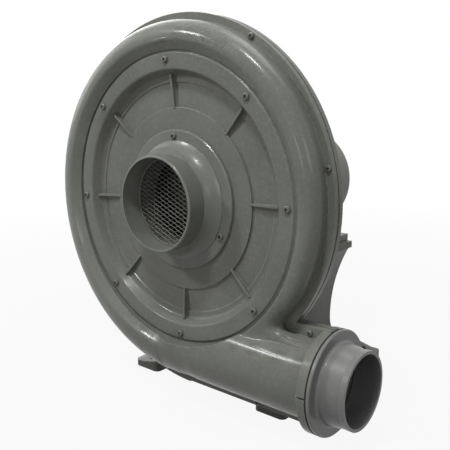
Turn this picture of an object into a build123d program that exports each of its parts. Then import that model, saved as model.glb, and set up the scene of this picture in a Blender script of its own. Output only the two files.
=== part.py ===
from build123d import *
from math import asin, cos, degrees, radians, sin
import os

os.makedirs("parts", exist_ok=True)

# A radial blower: a spiral casing with a round inlet in front, an impeller on the motor's own shaft,
# an outlet to the right, and a foot-mounted motor on a waisted pedestal.
# All sizes are millimetres. The floor is Z = 0 and the origin is the middle of the four foot holes.
# Depth means distance behind the front face of the cover, and angles run from +X towards +Z.

# Layout
SHAFT_HEIGHT = 286.0
COVER_SETBACK = 190.0
PARTING_DEPTH = 34.0
FACE_GAP = 1.3

# Spiral casing
SCROLL_RADIUS = 218.0
SCROLL_GROWTH = 12.0
SCROLL_START = -75.0
TONGUE_ANGLE = -40.0
SCROLL_END = 270.0
SCROLL_SECTIONS = 13
CASING_WALL = 5.0
CROWN_START = 33.0
CROWN_END = 51.5
SHOULDER_START = 13.7
SHOULDER_END = 51.0
SHOULDER_BIAS = 0.32
CROWN_BLEND = 6.0
CROWN_FLAT = 3.0
EDGE_START = 31.0
EDGE_END = 40.0
EDGE_POWER = 4
REAR_FLANK_RADIUS = 150.0
CHAMBER_RADIUS = 197.0
REAR_WALL_DEPTH = 58.0
REAR_BORE = 45.0

# Cover pocket in the front half
POCKET_RADIUS = 192.2
POCKET_DEPTH = 5.0
SEAT_THICKNESS = 5.0
OPENING_RADIUS = 173.0

# Joint flange of the two halves and its screws
JOINT_FLANGE = 9.5
TONGUE_FLANGE = 13.0
JOINT_THICKNESS = 7.0
GASKET_SETBACK = 2.4
SEAM_ANGLES = (14.0, 61.5, 118.0, 165.0, 212.0, 261.5)
SEAM_OFFSET = 4.7
SPOT_FACE_RADIUS = 4.6
SEAM_SCREW_RADIUS = 2.0
SEAM_HEAD_RADIUS = 4.0
SEAM_HEAD_HEIGHT = 3.0
SEAM_NUT_RADIUS = 4.0
SEAM_NUT_HEIGHT = 3.2
TONGUE_SCREW_X = 197.5
DUCT_SCREWS_X = (120.0, 190.0)

# Outlet duct and flange
DUCT_START_RADIUS = 51.3
DUCT_TUCK = 2.6
DUCT_TAPER = 70.0
DUCT_RADIUS = 52.5
DUCT_END = 226.5
OUTLET_FLANGE_RADIUS = 64.7
OUTLET_FLANGE_THICKNESS = 10.5
OUTLET_GASKET = 1.5
OUTLET_BOLT_CIRCLE = 58.5
OUTLET_BOLT_COUNT = 3
OUTLET_BOLT_ANGLE = 180.0
OUTLET_BOLT_RADIUS = 2.5
OUTLET_HEAD_RADIUS = 4.5
OUTLET_HEAD_HEIGHT = 4.0
NOTCH_ANGLE = 178.0
NOTCH_WIDTH = 2.4
NOTCH_DEPTH = 4.0

# Outlet nozzle
NOZZLE_LENGTH = 38.0
NOZZLE_FLANGE_THICKNESS = 4.6
NOZZLE_FLANGE_ROUND = 1.2
NOZZLE_THREAD = 3.6
NOZZLE_ROOT_RADIUS = 50.0
NOZZLE_TIP_RADIUS = 46.5
NOZZLE_WALL = 3.0
NOZZLE_BLEND = 3.8
NOZZLE_BEAD = 7.0
NOZZLE_BEAD_RISE = 0.8

# Front cover
COVER_RADIUS = 190.0
COVER_THICKNESS = 5.0
COVER_BEVEL = 1.5
RECESS_RADIUS = 168.5
RECESS_EDGE_ROUND = 4.0
RECESS_WALL_FOOT = 161.0
RECESS_WALL_ROUND = 6.0
RECESS_LEDGE_DEPTH = 13.0
RECESS_FOOT_RADIUS = 152.0
RECESS_FOOT_STEP = 1.0
RECESS_DEPTH = 14.5
COVER_WALL = 4.0
PAN_CLEARANCE = 1.0
DISC_RADIUS = 121.0
DISC_RISE = 2.5
COVER_BORE = 70.0
RIB_COUNT = 8
COVER_CLOCKING = 2.5
RIB_OUTER = 163.0
RIB_TIP_WIDTH = 2.8
RIB_TIP_HEIGHT = 3.2
RIB_ROOT_WIDTH = 3.2
RIB_ROOT_HEIGHT = 7.5
RIB_SINK = 1.5
COVER_SCREW_CIRCLE = 181.0
COVER_SCREW_RADIUS = 2.5
COVER_HEAD_RADIUS = 4.7
COVER_HEAD_HEIGHT = 3.2
HEAD_ROUND = 1.2

# Inlet nozzle and guard
INLET_RADIUS = 62.5
INLET_WALL = 3.0
INLET_LENGTH = 35.0
INLET_FLANGE_RADIUS = 93.0
INLET_FLANGE_THICKNESS = 4.4
COLLAR_RADIUS = 78.5
COLLAR_TOP = 8.0
COLLAR_LAND = 1.6
COLLAR_STEP = 1.2
COLLAR_HOLLOW = 2.0
BELL_RADIUS = 57.0
BELL_DEPTH = 24.0
LIP_ROUND = 1.2
INLET_SCREW_CIRCLE = 84.5
INLET_SCREW_ANGLE = 92.4
INLET_SCREW_COUNT = 3
GUARD_DEPTH = 5.0
GUARD_SEAT = 2.0
GUARD_WIRE = 1.0
GUARD_PITCH = 5.6
GUARD_BARS = 21
GUARD_TURN = 65.0
GUARD_RIM = 1.6
GUARD_LAYER_GAP = 0.1

# Impeller
IMPELLER_RADIUS = 165.0
BACKPLATE_DEPTH = 50.0
BACKPLATE_THICKNESS = 2.5
EYE_RADIUS = 63.0
EYE_DEPTH = 20.0
TIP_DEPTH = 35.0
SHROUD_THICKNESS = 2.0
SHROUD_DISH = 5.0
BLADE_COUNT = 10
BLADE_THICKNESS = 2.0
BLADE_INNER = 74.0
BLADE_OUTER = 164.0
BLADE_SWEEP = 38.0
BLADE_BOW = 11.0
HUB_FLANGE_RADIUS = 48.0
HUB_FLANGE_THICKNESS = 5.0
HUB_RADIUS = 22.0
HUB_FRONT = 32.0
HUB_REAR = 56.0
WASHER_RADIUS = 18.0
WASHER_THICKNESS = 3.0
CLAMP_BOLT_RADIUS = 4.0
CLAMP_HEAD_RADIUS = 7.5
CLAMP_HEAD_HEIGHT = 5.5
CLAMP_BOLT_LENGTH = 22.0
KEY_WIDTH = 8.0
KEY_HEIGHT = 7.0
KEY_SEAT = 4.0
KEY_MARGIN = 2.0

# Shaft and bearings
SHAFT_RADIUS = 12.0
JOURNAL_RADIUS = 12.5
ROTOR_SEAT_RADIUS = 16.0
SHAFT_END = 328.0
SEAL_DEPTH = 60.0
SEAL_WIDTH = 6.0
SEAL_RADIUS = 20.0
SEAL_CLEARANCE = 0.05
FRONT_BEARING_DEPTH = 74.0
REAR_BEARING_DEPTH = 280.0
BEARING_WIDTH = 15.0
BEARING_RADIUS = 26.0
OUTER_RING_BORE = 22.0
INNER_RING_RADIUS = 16.5
BALL_PITCH = 19.25
BALL_RADIUS = 3.6
GROOVE_RADIUS = 3.9
BALL_COUNT = 9
CAGE_INNER = 18.2
CAGE_OUTER = 20.3
CAGE_WIDTH = 4.0
SPRING_THICKNESS = 1.0
SPRING_INNER = 22.5

# Motor
MOTOR_HEIGHT = 90.0
MOTOR_FLANGE_RADIUS = 88.0
MOTOR_FLANGE_THICKNESS = 10.0
MOTOR_FLANGE_BEVEL = 1.2
FLANGE_GROOVE_DEPTH = 1.4
FLANGE_GROOVE_WIDTH = 1.2
SHAFT_HOLE = 13.5
MOTOR_BOLT_CIRCLE = 80.0
MOTOR_BOLT_RADIUS = 3.0
MOTOR_HEAD_RADIUS = 5.2
MOTOR_HEAD_HEIGHT = 4.0
FRAME_FRONT = 90.0
FRAME_REAR = 286.0
FRAME_BORE = 64.0
FRAME_RADIUS = 68.0
FIN_RADIUS = 76.0
FIN_WIDTH = 2.5
FIN_COUNT = 32
RIM_THICKNESS = 10.0
SHIELD_BODY = 66.0
SHIELD_BOSS = 40.0
SHIELD_HUB_RADIUS = 33.0
SHIELD_WEB = 6.0
SHIELD_SPIGOT = 5.0
LUG_WIDTH = 14.0
STATOR_FRONT = 130.0
STATOR_REAR = 246.0
STATOR_BORE = 38.4
ROTOR_RADIUS = 38.0
WINDING_INNER = 42.0
WINDING_OUTER = 60.0
WINDING_LENGTH = 18.0
WINDING_ROUND = 6.0
RING_INNER = 20.0
RING_OUTER = 34.0
RING_LENGTH = 8.0
TIE_BOLT_CIRCLE = 72.0
TIE_BOLT_RADIUS = 2.5
TIE_HEAD_RADIUS = 4.2
TIE_HEAD_HEIGHT = 3.5
FOOT_INNER = 56.0
FOOT_OUTER = 101.0
FOOT_THICKNESS = 11.0
FOOT_FRONT = 140.0
FOOT_PAD = 42.0
FOOT_RELIEF = 76.0
FOOT_WEB_TOP = 48.0
FOOT_WEB_OUTER = 62.0
FOOT_WEB_INNER = 46.0
FOOT_BOLT_X = 84.0
FOOT_BOLT_DEPTHS = (160.0, 268.0)
FOOT_BOLT_RADIUS = 4.0
FOOT_HEAD_RADIUS = 7.0
FOOT_HEAD_HEIGHT = 5.5

# Fan and cowl
COWL_RADIUS = 79.5
COWL_SHEET = 1.5
COWL_FRONT = 262.0
COWL_REAR = 335.0
COWL_ROUND = 12.0
COWL_CLEARANCE = 0.5
COWL_SCREW_ANGLES = (0.0, 90.0, 180.0, 270.0)
COWL_SCREW_RADIUS = 2.0
COWL_HEAD_RADIUS = 3.6
COWL_HEAD_HEIGHT = 2.0
GRILLE_SLOTS = 24
GRILLE_INNER = 26.0
GRILLE_OUTER = 62.0
GRILLE_SLOT = 3.5
FAN_FRONT = 306.0
FAN_REAR = 322.0
FAN_RADIUS = 66.0
FAN_HUB_RADIUS = 19.0
FAN_DISC = 2.5
FAN_BLADES = 8
FAN_BLADE = 2.5
CLIP_RADIUS = 15.0
CLIP_THICKNESS = 1.5
CLIP_GROOVE = 1.0

# Terminal box
BOX_MIDDLE_DEPTH = 200.0
PAD_WIDTH = 84.0
PAD_LENGTH = 96.0
PAD_HEIGHT = 78.0
PAD_DEPTH = 28.0
BOX_WIDTH = 100.0
BOX_LENGTH = 104.0
BOX_HEIGHT = 36.0
BOX_WALL = 3.0
BOX_CORNER = 8.0
WIRE_HOLE = 14.0
SEAL_SHEET = 1.5
LID_THICKNESS = 5.0
LID_EDGE = 2.0
LID_SCREW_INSET = 8.0
LID_SCREW_RADIUS = 2.0
LID_SCREW_REACH = 14.0
LID_HEAD_RADIUS = 3.8
LID_HEAD_HEIGHT = 2.2
LID_BOSS_RADIUS = 5.5
BLOCK_WIDTH = 60.0
BLOCK_LENGTH = 34.0
BLOCK_HEIGHT = 8.0
STUD_RADIUS = 2.5
STUD_HEIGHT = 12.0
STUD_SPACING_X = 20.0
STUD_SPACING_Y = 18.0
BLOCK_OFFSET = 31.0
GLAND_RADIUS = 10.0
GLAND_HEX = 13.5
GLAND_HEX_LENGTH = 8.0
GLAND_DOME_RADIUS = 11.5
GLAND_DOME_LENGTH = 14.0
GLAND_DOME_ROUND = 3.0
GLAND_BORE = 6.0
GLAND_NUT_LENGTH = 4.0
GLAND_RISE = 18.0

# Pedestal
PLATE_HALF_WIDTH = 108.0
PLATE_THICKNESS = 10.0
PLATE_FRONT = 132.0
PLATE_REAR = 287.0
WAIST_HALF_WIDTH = 72.5
WAIST_HEIGHT = 64.0
WAIST_CURVE = 252.0
FLARE_CURVE = 54.0
SIDE_WALL = 8.0
WALL_FRONT = 112.0
WALL_REAR = 286.0
WEB_THICKNESS = 8.0
ARCH_RADIUS = 58.0
BASE_HALF_WIDTH = 144.0
RAIL_WIDTH = 50.0
RAIL_THICKNESS = 10.0
RAIL_RISE = 8.0
RAIL_FRONT = 50.0
RAIL_REAR = 330.0
RAIL_CORNER = 8.0
FOOT_HOLE_SPAN_X = 238.0
FOOT_HOLE_SPAN_Y = 248.0
FOOT_HOLE_RADIUS = 5.5

# Sizes that follow from the ones above
FRONT_FACE = PARTING_DEPTH - FACE_GAP
REAR_FACE = PARTING_DEPTH + FACE_GAP
REAR_OUTER_DEPTH = REAR_WALL_DEPTH + CASING_WALL
JOINT_FRONT = FRONT_FACE - JOINT_THICKNESS
JOINT_REAR = REAR_FACE + JOINT_THICKNESS
DUCT_DROP = SCROLL_RADIUS + SCROLL_GROWTH * SCROLL_END / 90 - DUCT_START_RADIUS - DUCT_TUCK
DISC_DEPTH = RECESS_DEPTH - DISC_RISE
COVER_BACK = RECESS_DEPTH + COVER_WALL
INLET_FACE = DISC_DEPTH - INLET_FLANGE_THICKNESS
NOZZLE_START = DUCT_END + OUTLET_GASKET
PLATE_TOP = -MOTOR_HEIGHT
PLATE_BOTTOM = PLATE_TOP - PLATE_THICKNESS
WAIST_Z = WAIST_HEIGHT - SHAFT_HEIGHT
FLARE_CENTRE_X = WAIST_HALF_WIDTH + FLARE_CURVE
RAIL_TOP = RAIL_THICKNESS - SHAFT_HEIGHT
REAR_SHIELD_OUTER = FRAME_REAR + RIM_THICKNESS
LUG_DEPTH = FRAME_REAR + RIM_THICKNESS / 2

SHAFT_AXIS = Axis((0, 0, SHAFT_HEIGHT), (0, 1, 0))
AXIAL = Plane(origin=(0, -COVER_SETBACK, SHAFT_HEIGHT), x_dir=(1, 0, 0), z_dir=(0, 0, 1))
OUTLET_AXIS = Axis((0, PARTING_DEPTH - COVER_SETBACK, SHAFT_HEIGHT - DUCT_DROP), (1, 0, 0))
OUTLET_SIDE = Plane(origin=OUTLET_AXIS.position, x_dir=(1, 0, 0), z_dir=(0, -1, 0))


def station(depth):
    """Plane across the shaft at a depth, seen from the front."""
    return Plane(origin=(0, depth - COVER_SETBACK, SHAFT_HEIGHT), x_dir=(1, 0, 0), z_dir=(0, -1, 0))


def turned_station(depth, turn):
    """Plane across the shaft with its axes turned by an angle."""
    along = (cos(radians(turn)), 0, sin(radians(turn)))
    return Plane(origin=(0, depth - COVER_SETBACK, SHAFT_HEIGHT), x_dir=along, z_dir=(0, -1, 0))


def duct_station(x):
    """Plane across the outlet duct, seen from the right."""
    centre = (x, PARTING_DEPTH - COVER_SETBACK, SHAFT_HEIGHT - DUCT_DROP)
    return Plane(origin=centre, x_dir=(0, 1, 0), z_dir=(1, 0, 0))


def level(height):
    """Level plane at a height over the shaft axis."""
    return Plane(origin=(0, -COVER_SETBACK, SHAFT_HEIGHT + height), x_dir=(1, 0, 0), z_dir=(0, 0, 1))


def polar(radius, angle):
    """Point at a radius and an angle in degrees."""
    return (radius * cos(radians(angle)), radius * sin(radians(angle)))


def scroll_radius(angle):
    """Outer radius of the spiral tube."""
    return SCROLL_RADIUS + SCROLL_GROWTH * angle / 90


def scroll_angles():
    """Evenly spaced angles from the tongue to the duct."""
    step = (SCROLL_END - SCROLL_START) / (SCROLL_SECTIONS - 1)
    return [SCROLL_START + step * number for number in range(SCROLL_SECTIONS)]


def scroll_section(angle, side, inset):
    """Half section of the spiral tube on one side of the parting plane, inset from its skin."""
    share = (angle - TONGUE_ANGLE) / (SCROLL_END - TONGUE_ANGLE)
    growth = SHOULDER_BIAS * share + (1 - SHOULDER_BIAS) * share * share
    rim = scroll_radius(angle) - inset
    shoulder = SHOULDER_START + (SHOULDER_END - SHOULDER_START) * growth - inset
    crown = CROWN_START + (CROWN_END - CROWN_START) * share - inset
    ridge = rim - shoulder - CROWN_FLAT
    if side < 0:
        edge = EDGE_START + (EDGE_END - EDGE_START) * share**EDGE_POWER - inset
        slope = (crown - edge) / (ridge + CROWN_FLAT - POCKET_RADIUS)
        foot_radius = POCKET_RADIUS - CASING_WALL
        foot_height = crown - slope * (ridge - foot_radius)
    else:
        foot_radius = REAR_FLANK_RADIUS
        foot_height = REAR_OUTER_DEPTH - PARTING_DEPTH - CASING_WALL / 2 - inset
    outward = (cos(radians(angle)), 0, sin(radians(angle)))
    facing = (-side * outward[2], 0, side * outward[0])
    centre = (0, PARTING_DEPTH - COVER_SETBACK, SHAFT_HEIGHT)
    corners = [(foot_radius, 0), (rim, 0), (rim, crown), (ridge, crown), (foot_radius, foot_height)]
    with BuildSketch(Plane(origin=centre, x_dir=outward, z_dir=facing)) as outline:
        with BuildLine():
            FilletPolyline(*corners, radius=[0, 0, shoulder, CROWN_BLEND, 0], close=True)
        make_face()
    return outline.sketch


def spiral_face(depth, spread, top_spread, end_x):
    """Spiral and duct outline at a depth, spread outwards from the tube's skin."""
    rim = [polar(scroll_radius(angle) + spread, angle) for angle in scroll_angles()]
    height = 2 * DUCT_RADIUS + spread + top_spread
    middle = (top_spread - spread) / 2 - DUCT_DROP
    with BuildSketch(station(depth)) as outline:
        with BuildLine():
            spiral = Spline(*rim)
            Line(spiral @ 1, spiral @ 0)
        make_face()
        with Locations((end_x / 2, middle)):
            Rectangle(end_x, height)
    return outline.sketch


def seam_points():
    """Places of the screws that hold the two halves together."""
    points = [polar(scroll_radius(angle) + SEAM_OFFSET, angle) for angle in SEAM_ANGLES]
    points.append((TONGUE_SCREW_X, DUCT_RADIUS + SEAM_OFFSET - DUCT_DROP))
    points.extend((x, -DUCT_RADIUS - SEAM_OFFSET - DUCT_DROP) for x in DUCT_SCREWS_X)
    return points


def outlet_points():
    """Places of the outlet screws about the duct's axis, seen from the right."""
    step = 360 / OUTLET_BOLT_COUNT
    return [polar(OUTLET_BOLT_CIRCLE, OUTLET_BOLT_ANGLE + step * n) for n in range(OUTLET_BOLT_COUNT)]


def cover_points():
    """Places of the cover screws."""
    step = 360 / RIB_COUNT
    return [polar(COVER_SCREW_CIRCLE, COVER_CLOCKING + step * number) for number in range(RIB_COUNT)]


def inlet_points():
    """Places of the inlet flange screws."""
    step = 360 / INLET_SCREW_COUNT
    return [polar(INLET_SCREW_CIRCLE, INLET_SCREW_ANGLE + step * n) for n in range(INLET_SCREW_COUNT)]


def radial_plane(angle, radius, depth):
    """Plane facing outwards at a radius from the shaft."""
    x, z = polar(radius, angle)
    outward = (cos(radians(angle)), 0, sin(radians(angle)))
    return Plane(origin=(x, depth - COVER_SETBACK, SHAFT_HEIGHT + z), x_dir=(0, 1, 0), z_dir=outward)


def motor_points():
    """Places of the bolts between motor flange and casing."""
    return [polar(MOTOR_BOLT_CIRCLE, 90 * number) for number in range(4)]


def foot_bolt_points():
    """Places of the bolts that hold the motor feet, in a level plane."""
    return [(side * FOOT_BOLT_X, depth) for side in (-1, 1) for depth in FOOT_BOLT_DEPTHS]


def tie_points():
    """Places of the long bolts that clamp both end shields to the frame."""
    return [polar(TIE_BOLT_CIRCLE, 45 + 90 * number) for number in range(4)]


# Both halves of the casing share one form: a lofted spiral tube that runs into a straight round duct.
# The air space inside is the same form one wall smaller.
def casing_mass(side, inset):
    """Solid form of one half of the casing, inset from its skin."""
    with BuildPart() as mass:
        loft(sections=[scroll_section(angle, side, inset) for angle in scroll_angles()])
        with Locations(OUTLET_AXIS.position):
            Sphere(DUCT_START_RADIUS - inset)
        duct_line = [
            (0, 0),
            (0, DUCT_START_RADIUS - inset),
            (DUCT_TAPER, DUCT_RADIUS - inset),
            (DUCT_END, DUCT_RADIUS - inset),
            (DUCT_END, 0),
        ]
        revolve(profile(OUTLET_SIDE, duct_line, [0] * len(duct_line)), axis=OUTLET_AXIS)
    return mass.part


def duct_circle(x, radius):
    """Disc across the duct."""
    with BuildSketch(duct_station(x)) as outline:
        Circle(radius)
    return outline.sketch


def disc(depth, radius):
    """Disc about the shaft at a depth."""
    with BuildSketch(station(depth)) as outline:
        Circle(radius)
    return outline.sketch


def dots(plane, points, radius):
    """Equal circles at the given points of a plane."""
    with BuildSketch(plane) as outline:
        with Locations(*points):
            Circle(radius)
    return outline.sketch


def profile(plane, corners, radii):
    """Closed outline on a plane with a rounding for each corner."""
    with BuildSketch(plane) as outline:
        with BuildLine():
            FilletPolyline(*corners, radius=radii, close=True)
        make_face()
    return outline.sketch


def ring(inner, outer, front, rear):
    """Square-edged ring about the shaft between two depths, as a turned section."""
    return profile(AXIAL, [(inner, front), (outer, front), (outer, rear), (inner, rear)], [0, 0, 0, 0])


def round_head(plane, points, radius, height, rounding):
    """Domed screw heads standing on a plane at the given points."""
    with BuildPart() as heads:
        extrude(dots(plane, points, radius), amount=height)
        fillet(heads.edges().group_by(Axis(plane.origin, plane.z_dir))[-1], rounding)
    return heads.part


with BuildPart() as front_air:
    add(casing_mass(-1, CASING_WALL))
    extrude(duct_circle(DUCT_END - 1, DUCT_RADIUS - CASING_WALL), amount=2)
    extrude(disc(PARTING_DEPTH, CHAMBER_RADIUS), amount=PARTING_DEPTH - POCKET_DEPTH - SEAT_THICKNESS)
    liner = ring(OPENING_RADIUS, POCKET_RADIUS + CASING_WALL, -DUCT_RADIUS, POCKET_DEPTH + SEAT_THICKNESS)
    revolve(liner, axis=SHAFT_AXIS, mode=Mode.SUBTRACT)

with BuildPart() as front_casing:
    add(casing_mass(-1, 0))
    extrude(spiral_face(FRONT_FACE, JOINT_FLANGE, TONGUE_FLANGE, DUCT_END), amount=JOINT_THICKNESS)
    extrude(duct_circle(DUCT_END, OUTLET_FLANGE_RADIUS), amount=-OUTLET_FLANGE_THICKNESS)
    extrude(disc(FRONT_FACE, CHAMBER_RADIUS + CASING_WALL), amount=FRONT_FACE - POCKET_DEPTH)
    add(front_air.part, mode=Mode.SUBTRACT)
    extrude(disc(POCKET_DEPTH, POCKET_RADIUS), amount=2 * DUCT_RADIUS, mode=Mode.SUBTRACT)
    extrude(disc(FRONT_FACE, OPENING_RADIUS), amount=FRONT_FACE, mode=Mode.SUBTRACT)
    spot_faces = dots(station(JOINT_FRONT), seam_points(), SPOT_FACE_RADIUS)
    extrude(spot_faces, amount=2 * DUCT_RADIUS, mode=Mode.SUBTRACT)
    seam_holes = dots(station(FRONT_FACE), seam_points(), SEAM_SCREW_RADIUS)
    extrude(seam_holes, amount=JOINT_THICKNESS, mode=Mode.SUBTRACT)
    cover_holes = dots(station(POCKET_DEPTH + SEAT_THICKNESS), cover_points(), COVER_SCREW_RADIUS)
    extrude(cover_holes, amount=SEAT_THICKNESS, mode=Mode.SUBTRACT)
    outlet_holes = dots(duct_station(DUCT_END), outlet_points(), OUTLET_BOLT_RADIUS)
    extrude(outlet_holes, amount=-OUTLET_FLANGE_THICKNESS, mode=Mode.SUBTRACT)
    with BuildSketch(duct_station(DUCT_END)):
        with Locations(Location(polar(OUTLET_FLANGE_RADIUS, NOTCH_ANGLE), NOTCH_ANGLE)):
            Rectangle(2 * NOTCH_DEPTH, NOTCH_WIDTH)
    extrude(amount=-OUTLET_FLANGE_THICKNESS, mode=Mode.SUBTRACT)
    split(bisect_by=station(FRONT_FACE), keep=Keep.TOP)
front_casing.part.label = "front_casing"
export_step(front_casing.part, "parts/front_casing.step")

with BuildPart() as rear_air:
    add(casing_mass(1, CASING_WALL))
    extrude(duct_circle(DUCT_END - 1, DUCT_RADIUS - CASING_WALL), amount=2)
    extrude(disc(REAR_WALL_DEPTH, CHAMBER_RADIUS), amount=REAR_WALL_DEPTH - PARTING_DEPTH)

with BuildPart() as rear_casing:
    add(casing_mass(1, 0))
    extrude(spiral_face(JOINT_REAR, JOINT_FLANGE, TONGUE_FLANGE, DUCT_END), amount=JOINT_THICKNESS)
    extrude(duct_circle(DUCT_END, OUTLET_FLANGE_RADIUS), amount=-OUTLET_FLANGE_THICKNESS)
    extrude(disc(REAR_OUTER_DEPTH, CHAMBER_RADIUS), amount=REAR_OUTER_DEPTH - REAR_FACE)
    add(rear_air.part, mode=Mode.SUBTRACT)
    extrude(disc(REAR_OUTER_DEPTH, REAR_BORE), amount=REAR_OUTER_DEPTH, mode=Mode.SUBTRACT)
    nut_faces = dots(station(JOINT_REAR), seam_points(), SPOT_FACE_RADIUS)
    extrude(nut_faces, amount=-2 * DUCT_RADIUS, mode=Mode.SUBTRACT)
    seam_holes = dots(station(JOINT_REAR), seam_points(), SEAM_SCREW_RADIUS)
    extrude(seam_holes, amount=JOINT_THICKNESS, mode=Mode.SUBTRACT)
    motor_holes = dots(station(REAR_OUTER_DEPTH), motor_points(), MOTOR_BOLT_RADIUS)
    extrude(motor_holes, amount=CASING_WALL, mode=Mode.SUBTRACT)
    outlet_holes = dots(duct_station(DUCT_END), outlet_points(), OUTLET_BOLT_RADIUS)
    extrude(outlet_holes, amount=-OUTLET_FLANGE_THICKNESS, mode=Mode.SUBTRACT)
    split(bisect_by=station(REAR_FACE), keep=Keep.BOTTOM)
rear_casing.part.label = "rear_casing"
export_step(rear_casing.part, "parts/rear_casing.step")

gasket_rim = JOINT_FLANGE - GASKET_SETBACK
with BuildPart() as casing_gasket:
    extrude(spiral_face(REAR_FACE, gasket_rim, TONGUE_FLANGE - GASKET_SETBACK, DUCT_END), amount=2 * FACE_GAP)
    extrude(spiral_face(REAR_FACE, -CASING_WALL, -CASING_WALL, DUCT_END + 1), amount=2 * FACE_GAP, mode=Mode.SUBTRACT)
    extrude(disc(REAR_FACE, CHAMBER_RADIUS), amount=2 * FACE_GAP, mode=Mode.SUBTRACT)
    seam_holes = dots(station(REAR_FACE), seam_points(), SEAM_SCREW_RADIUS)
    extrude(seam_holes, amount=2 * FACE_GAP, mode=Mode.SUBTRACT)
casing_gasket.part.label = "casing_gasket"
export_step(casing_gasket.part, "parts/casing_gasket.step")

# Through bolts of the seam with their nuts.
with BuildPart() as casing_screws:
    extrude(dots(station(JOINT_FRONT), seam_points(), SEAM_HEAD_RADIUS), amount=SEAM_HEAD_HEIGHT)
    extrude(dots(station(JOINT_REAR), seam_points(), SEAM_SCREW_RADIUS), amount=2 * JOINT_THICKNESS + 2 * FACE_GAP)
    with BuildSketch(station(JOINT_REAR)):
        with Locations(*seam_points()):
            RegularPolygon(SEAM_NUT_RADIUS, 6)
    extrude(amount=-SEAM_NUT_HEIGHT)
casing_screws.part.label = "casing_screws"
export_step(casing_screws.part, "parts/casing_screws.step")

# Front cover: a flat rim, a hollow-curved recess wall, a floor with a raised disc, and radial ribs that
# grow towards the wall.
with BuildPart() as rib:
    rib_reach = RIB_OUTER - DISC_RADIUS + RIB_SINK
    rib_floor = Plane(origin=(DISC_RADIUS - RIB_SINK, 0, 0), x_dir=(0, 1, 0), z_dir=(1, 0, 0))
    with BuildSketch(rib_floor):
        Rectangle(RIB_TIP_WIDTH, RIB_TIP_HEIGHT + RIB_SINK, align=(Align.CENTER, Align.MIN))
    with BuildSketch(rib_floor.offset(rib_reach)):
        Rectangle(RIB_ROOT_WIDTH, RIB_ROOT_HEIGHT + RIB_SINK, align=(Align.CENTER, Align.MIN))
    loft()

with BuildPart() as front_cover:
    cover_outline = [
        (RECESS_RADIUS, 0),
        (COVER_RADIUS - COVER_BEVEL, 0),
        (COVER_RADIUS, COVER_BEVEL),
        (COVER_RADIUS, COVER_THICKNESS),
        (OPENING_RADIUS - PAN_CLEARANCE, COVER_THICKNESS),
        (RECESS_FOOT_RADIUS + COVER_WALL, COVER_BACK),
        (DISC_RADIUS - COVER_WALL, COVER_BACK),
        (DISC_RADIUS - COVER_WALL, DISC_DEPTH + COVER_WALL),
        (COVER_BORE, DISC_DEPTH + COVER_WALL),
        (COVER_BORE, DISC_DEPTH),
        (DISC_RADIUS, DISC_DEPTH),
        (DISC_RADIUS, RECESS_DEPTH),
        (RECESS_FOOT_RADIUS, RECESS_DEPTH),
        (RECESS_FOOT_RADIUS + RECESS_FOOT_STEP, RECESS_LEDGE_DEPTH),
        (RECESS_WALL_FOOT, RECESS_LEDGE_DEPTH),
    ]
    cover_radii = [RECESS_EDGE_ROUND] + [0] * (len(cover_outline) - 2) + [RECESS_WALL_ROUND]
    revolve(profile(AXIAL, cover_outline, cover_radii), axis=SHAFT_AXIS)
    with Locations(station(RECESS_DEPTH + RIB_SINK)):
        with PolarLocations(0, RIB_COUNT, start_angle=COVER_CLOCKING):
            add(rib.part)
    rim_holes = dots(station(COVER_THICKNESS), cover_points(), COVER_SCREW_RADIUS)
    extrude(rim_holes, amount=COVER_THICKNESS, mode=Mode.SUBTRACT)
    disc_holes = dots(station(DISC_DEPTH + COVER_WALL), inlet_points(), COVER_SCREW_RADIUS)
    extrude(disc_holes, amount=COVER_WALL, mode=Mode.SUBTRACT)
front_cover.part.label = "front_cover"
export_step(front_cover.part, "parts/front_cover.step")

with BuildPart() as cover_screws:
    add(round_head(station(0), cover_points(), COVER_HEAD_RADIUS, COVER_HEAD_HEIGHT, HEAD_ROUND))
    shank = POCKET_DEPTH + SEAT_THICKNESS
    extrude(dots(station(shank), cover_points(), COVER_SCREW_RADIUS), amount=shank)
cover_screws.part.label = "cover_screws"
export_step(cover_screws.part, "parts/cover_screws.step")

# Inlet nozzle: flange, concave collar, hose spigot outside and a bell that dips into the impeller eye.
with BuildPart() as inlet_nozzle:
    collar_inner = (INLET_RADIUS + COLLAR_LAND, -COLLAR_TOP)
    collar_outer = (COLLAR_RADIUS, INLET_FACE - COLLAR_STEP)
    with BuildSketch(AXIAL):
        with BuildLine():
            Polyline(
                collar_outer,
                (COLLAR_RADIUS, INLET_FACE),
                (INLET_FLANGE_RADIUS - COVER_BEVEL, INLET_FACE),
                (INLET_FLANGE_RADIUS, INLET_FACE + COVER_BEVEL),
                (INLET_FLANGE_RADIUS, DISC_DEPTH),
                (COVER_BORE - PAN_CLEARANCE, DISC_DEPTH),
                (BELL_RADIUS + INLET_WALL, COVER_BACK),
                (BELL_RADIUS + INLET_WALL, BELL_DEPTH),
                (BELL_RADIUS, BELL_DEPTH),
                (BELL_RADIUS, INLET_FACE),
                (INLET_RADIUS - INLET_WALL, -GUARD_SEAT),
                (INLET_RADIUS - INLET_WALL, -INLET_LENGTH),
                (INLET_RADIUS - LIP_ROUND, -INLET_LENGTH),
                (INLET_RADIUS, -INLET_LENGTH + LIP_ROUND),
                (INLET_RADIUS, -COLLAR_TOP),
                collar_inner,
            )
            SagittaArc(collar_inner, collar_outer, COLLAR_HOLLOW)
        make_face()
    revolve(axis=SHAFT_AXIS)
    flange_holes = dots(station(DISC_DEPTH), inlet_points(), COVER_SCREW_RADIUS)
    extrude(flange_holes, amount=INLET_FLANGE_THICKNESS, mode=Mode.SUBTRACT)
inlet_nozzle.part.label = "inlet_nozzle"
export_step(inlet_nozzle.part, "parts/inlet_nozzle.step")

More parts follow.
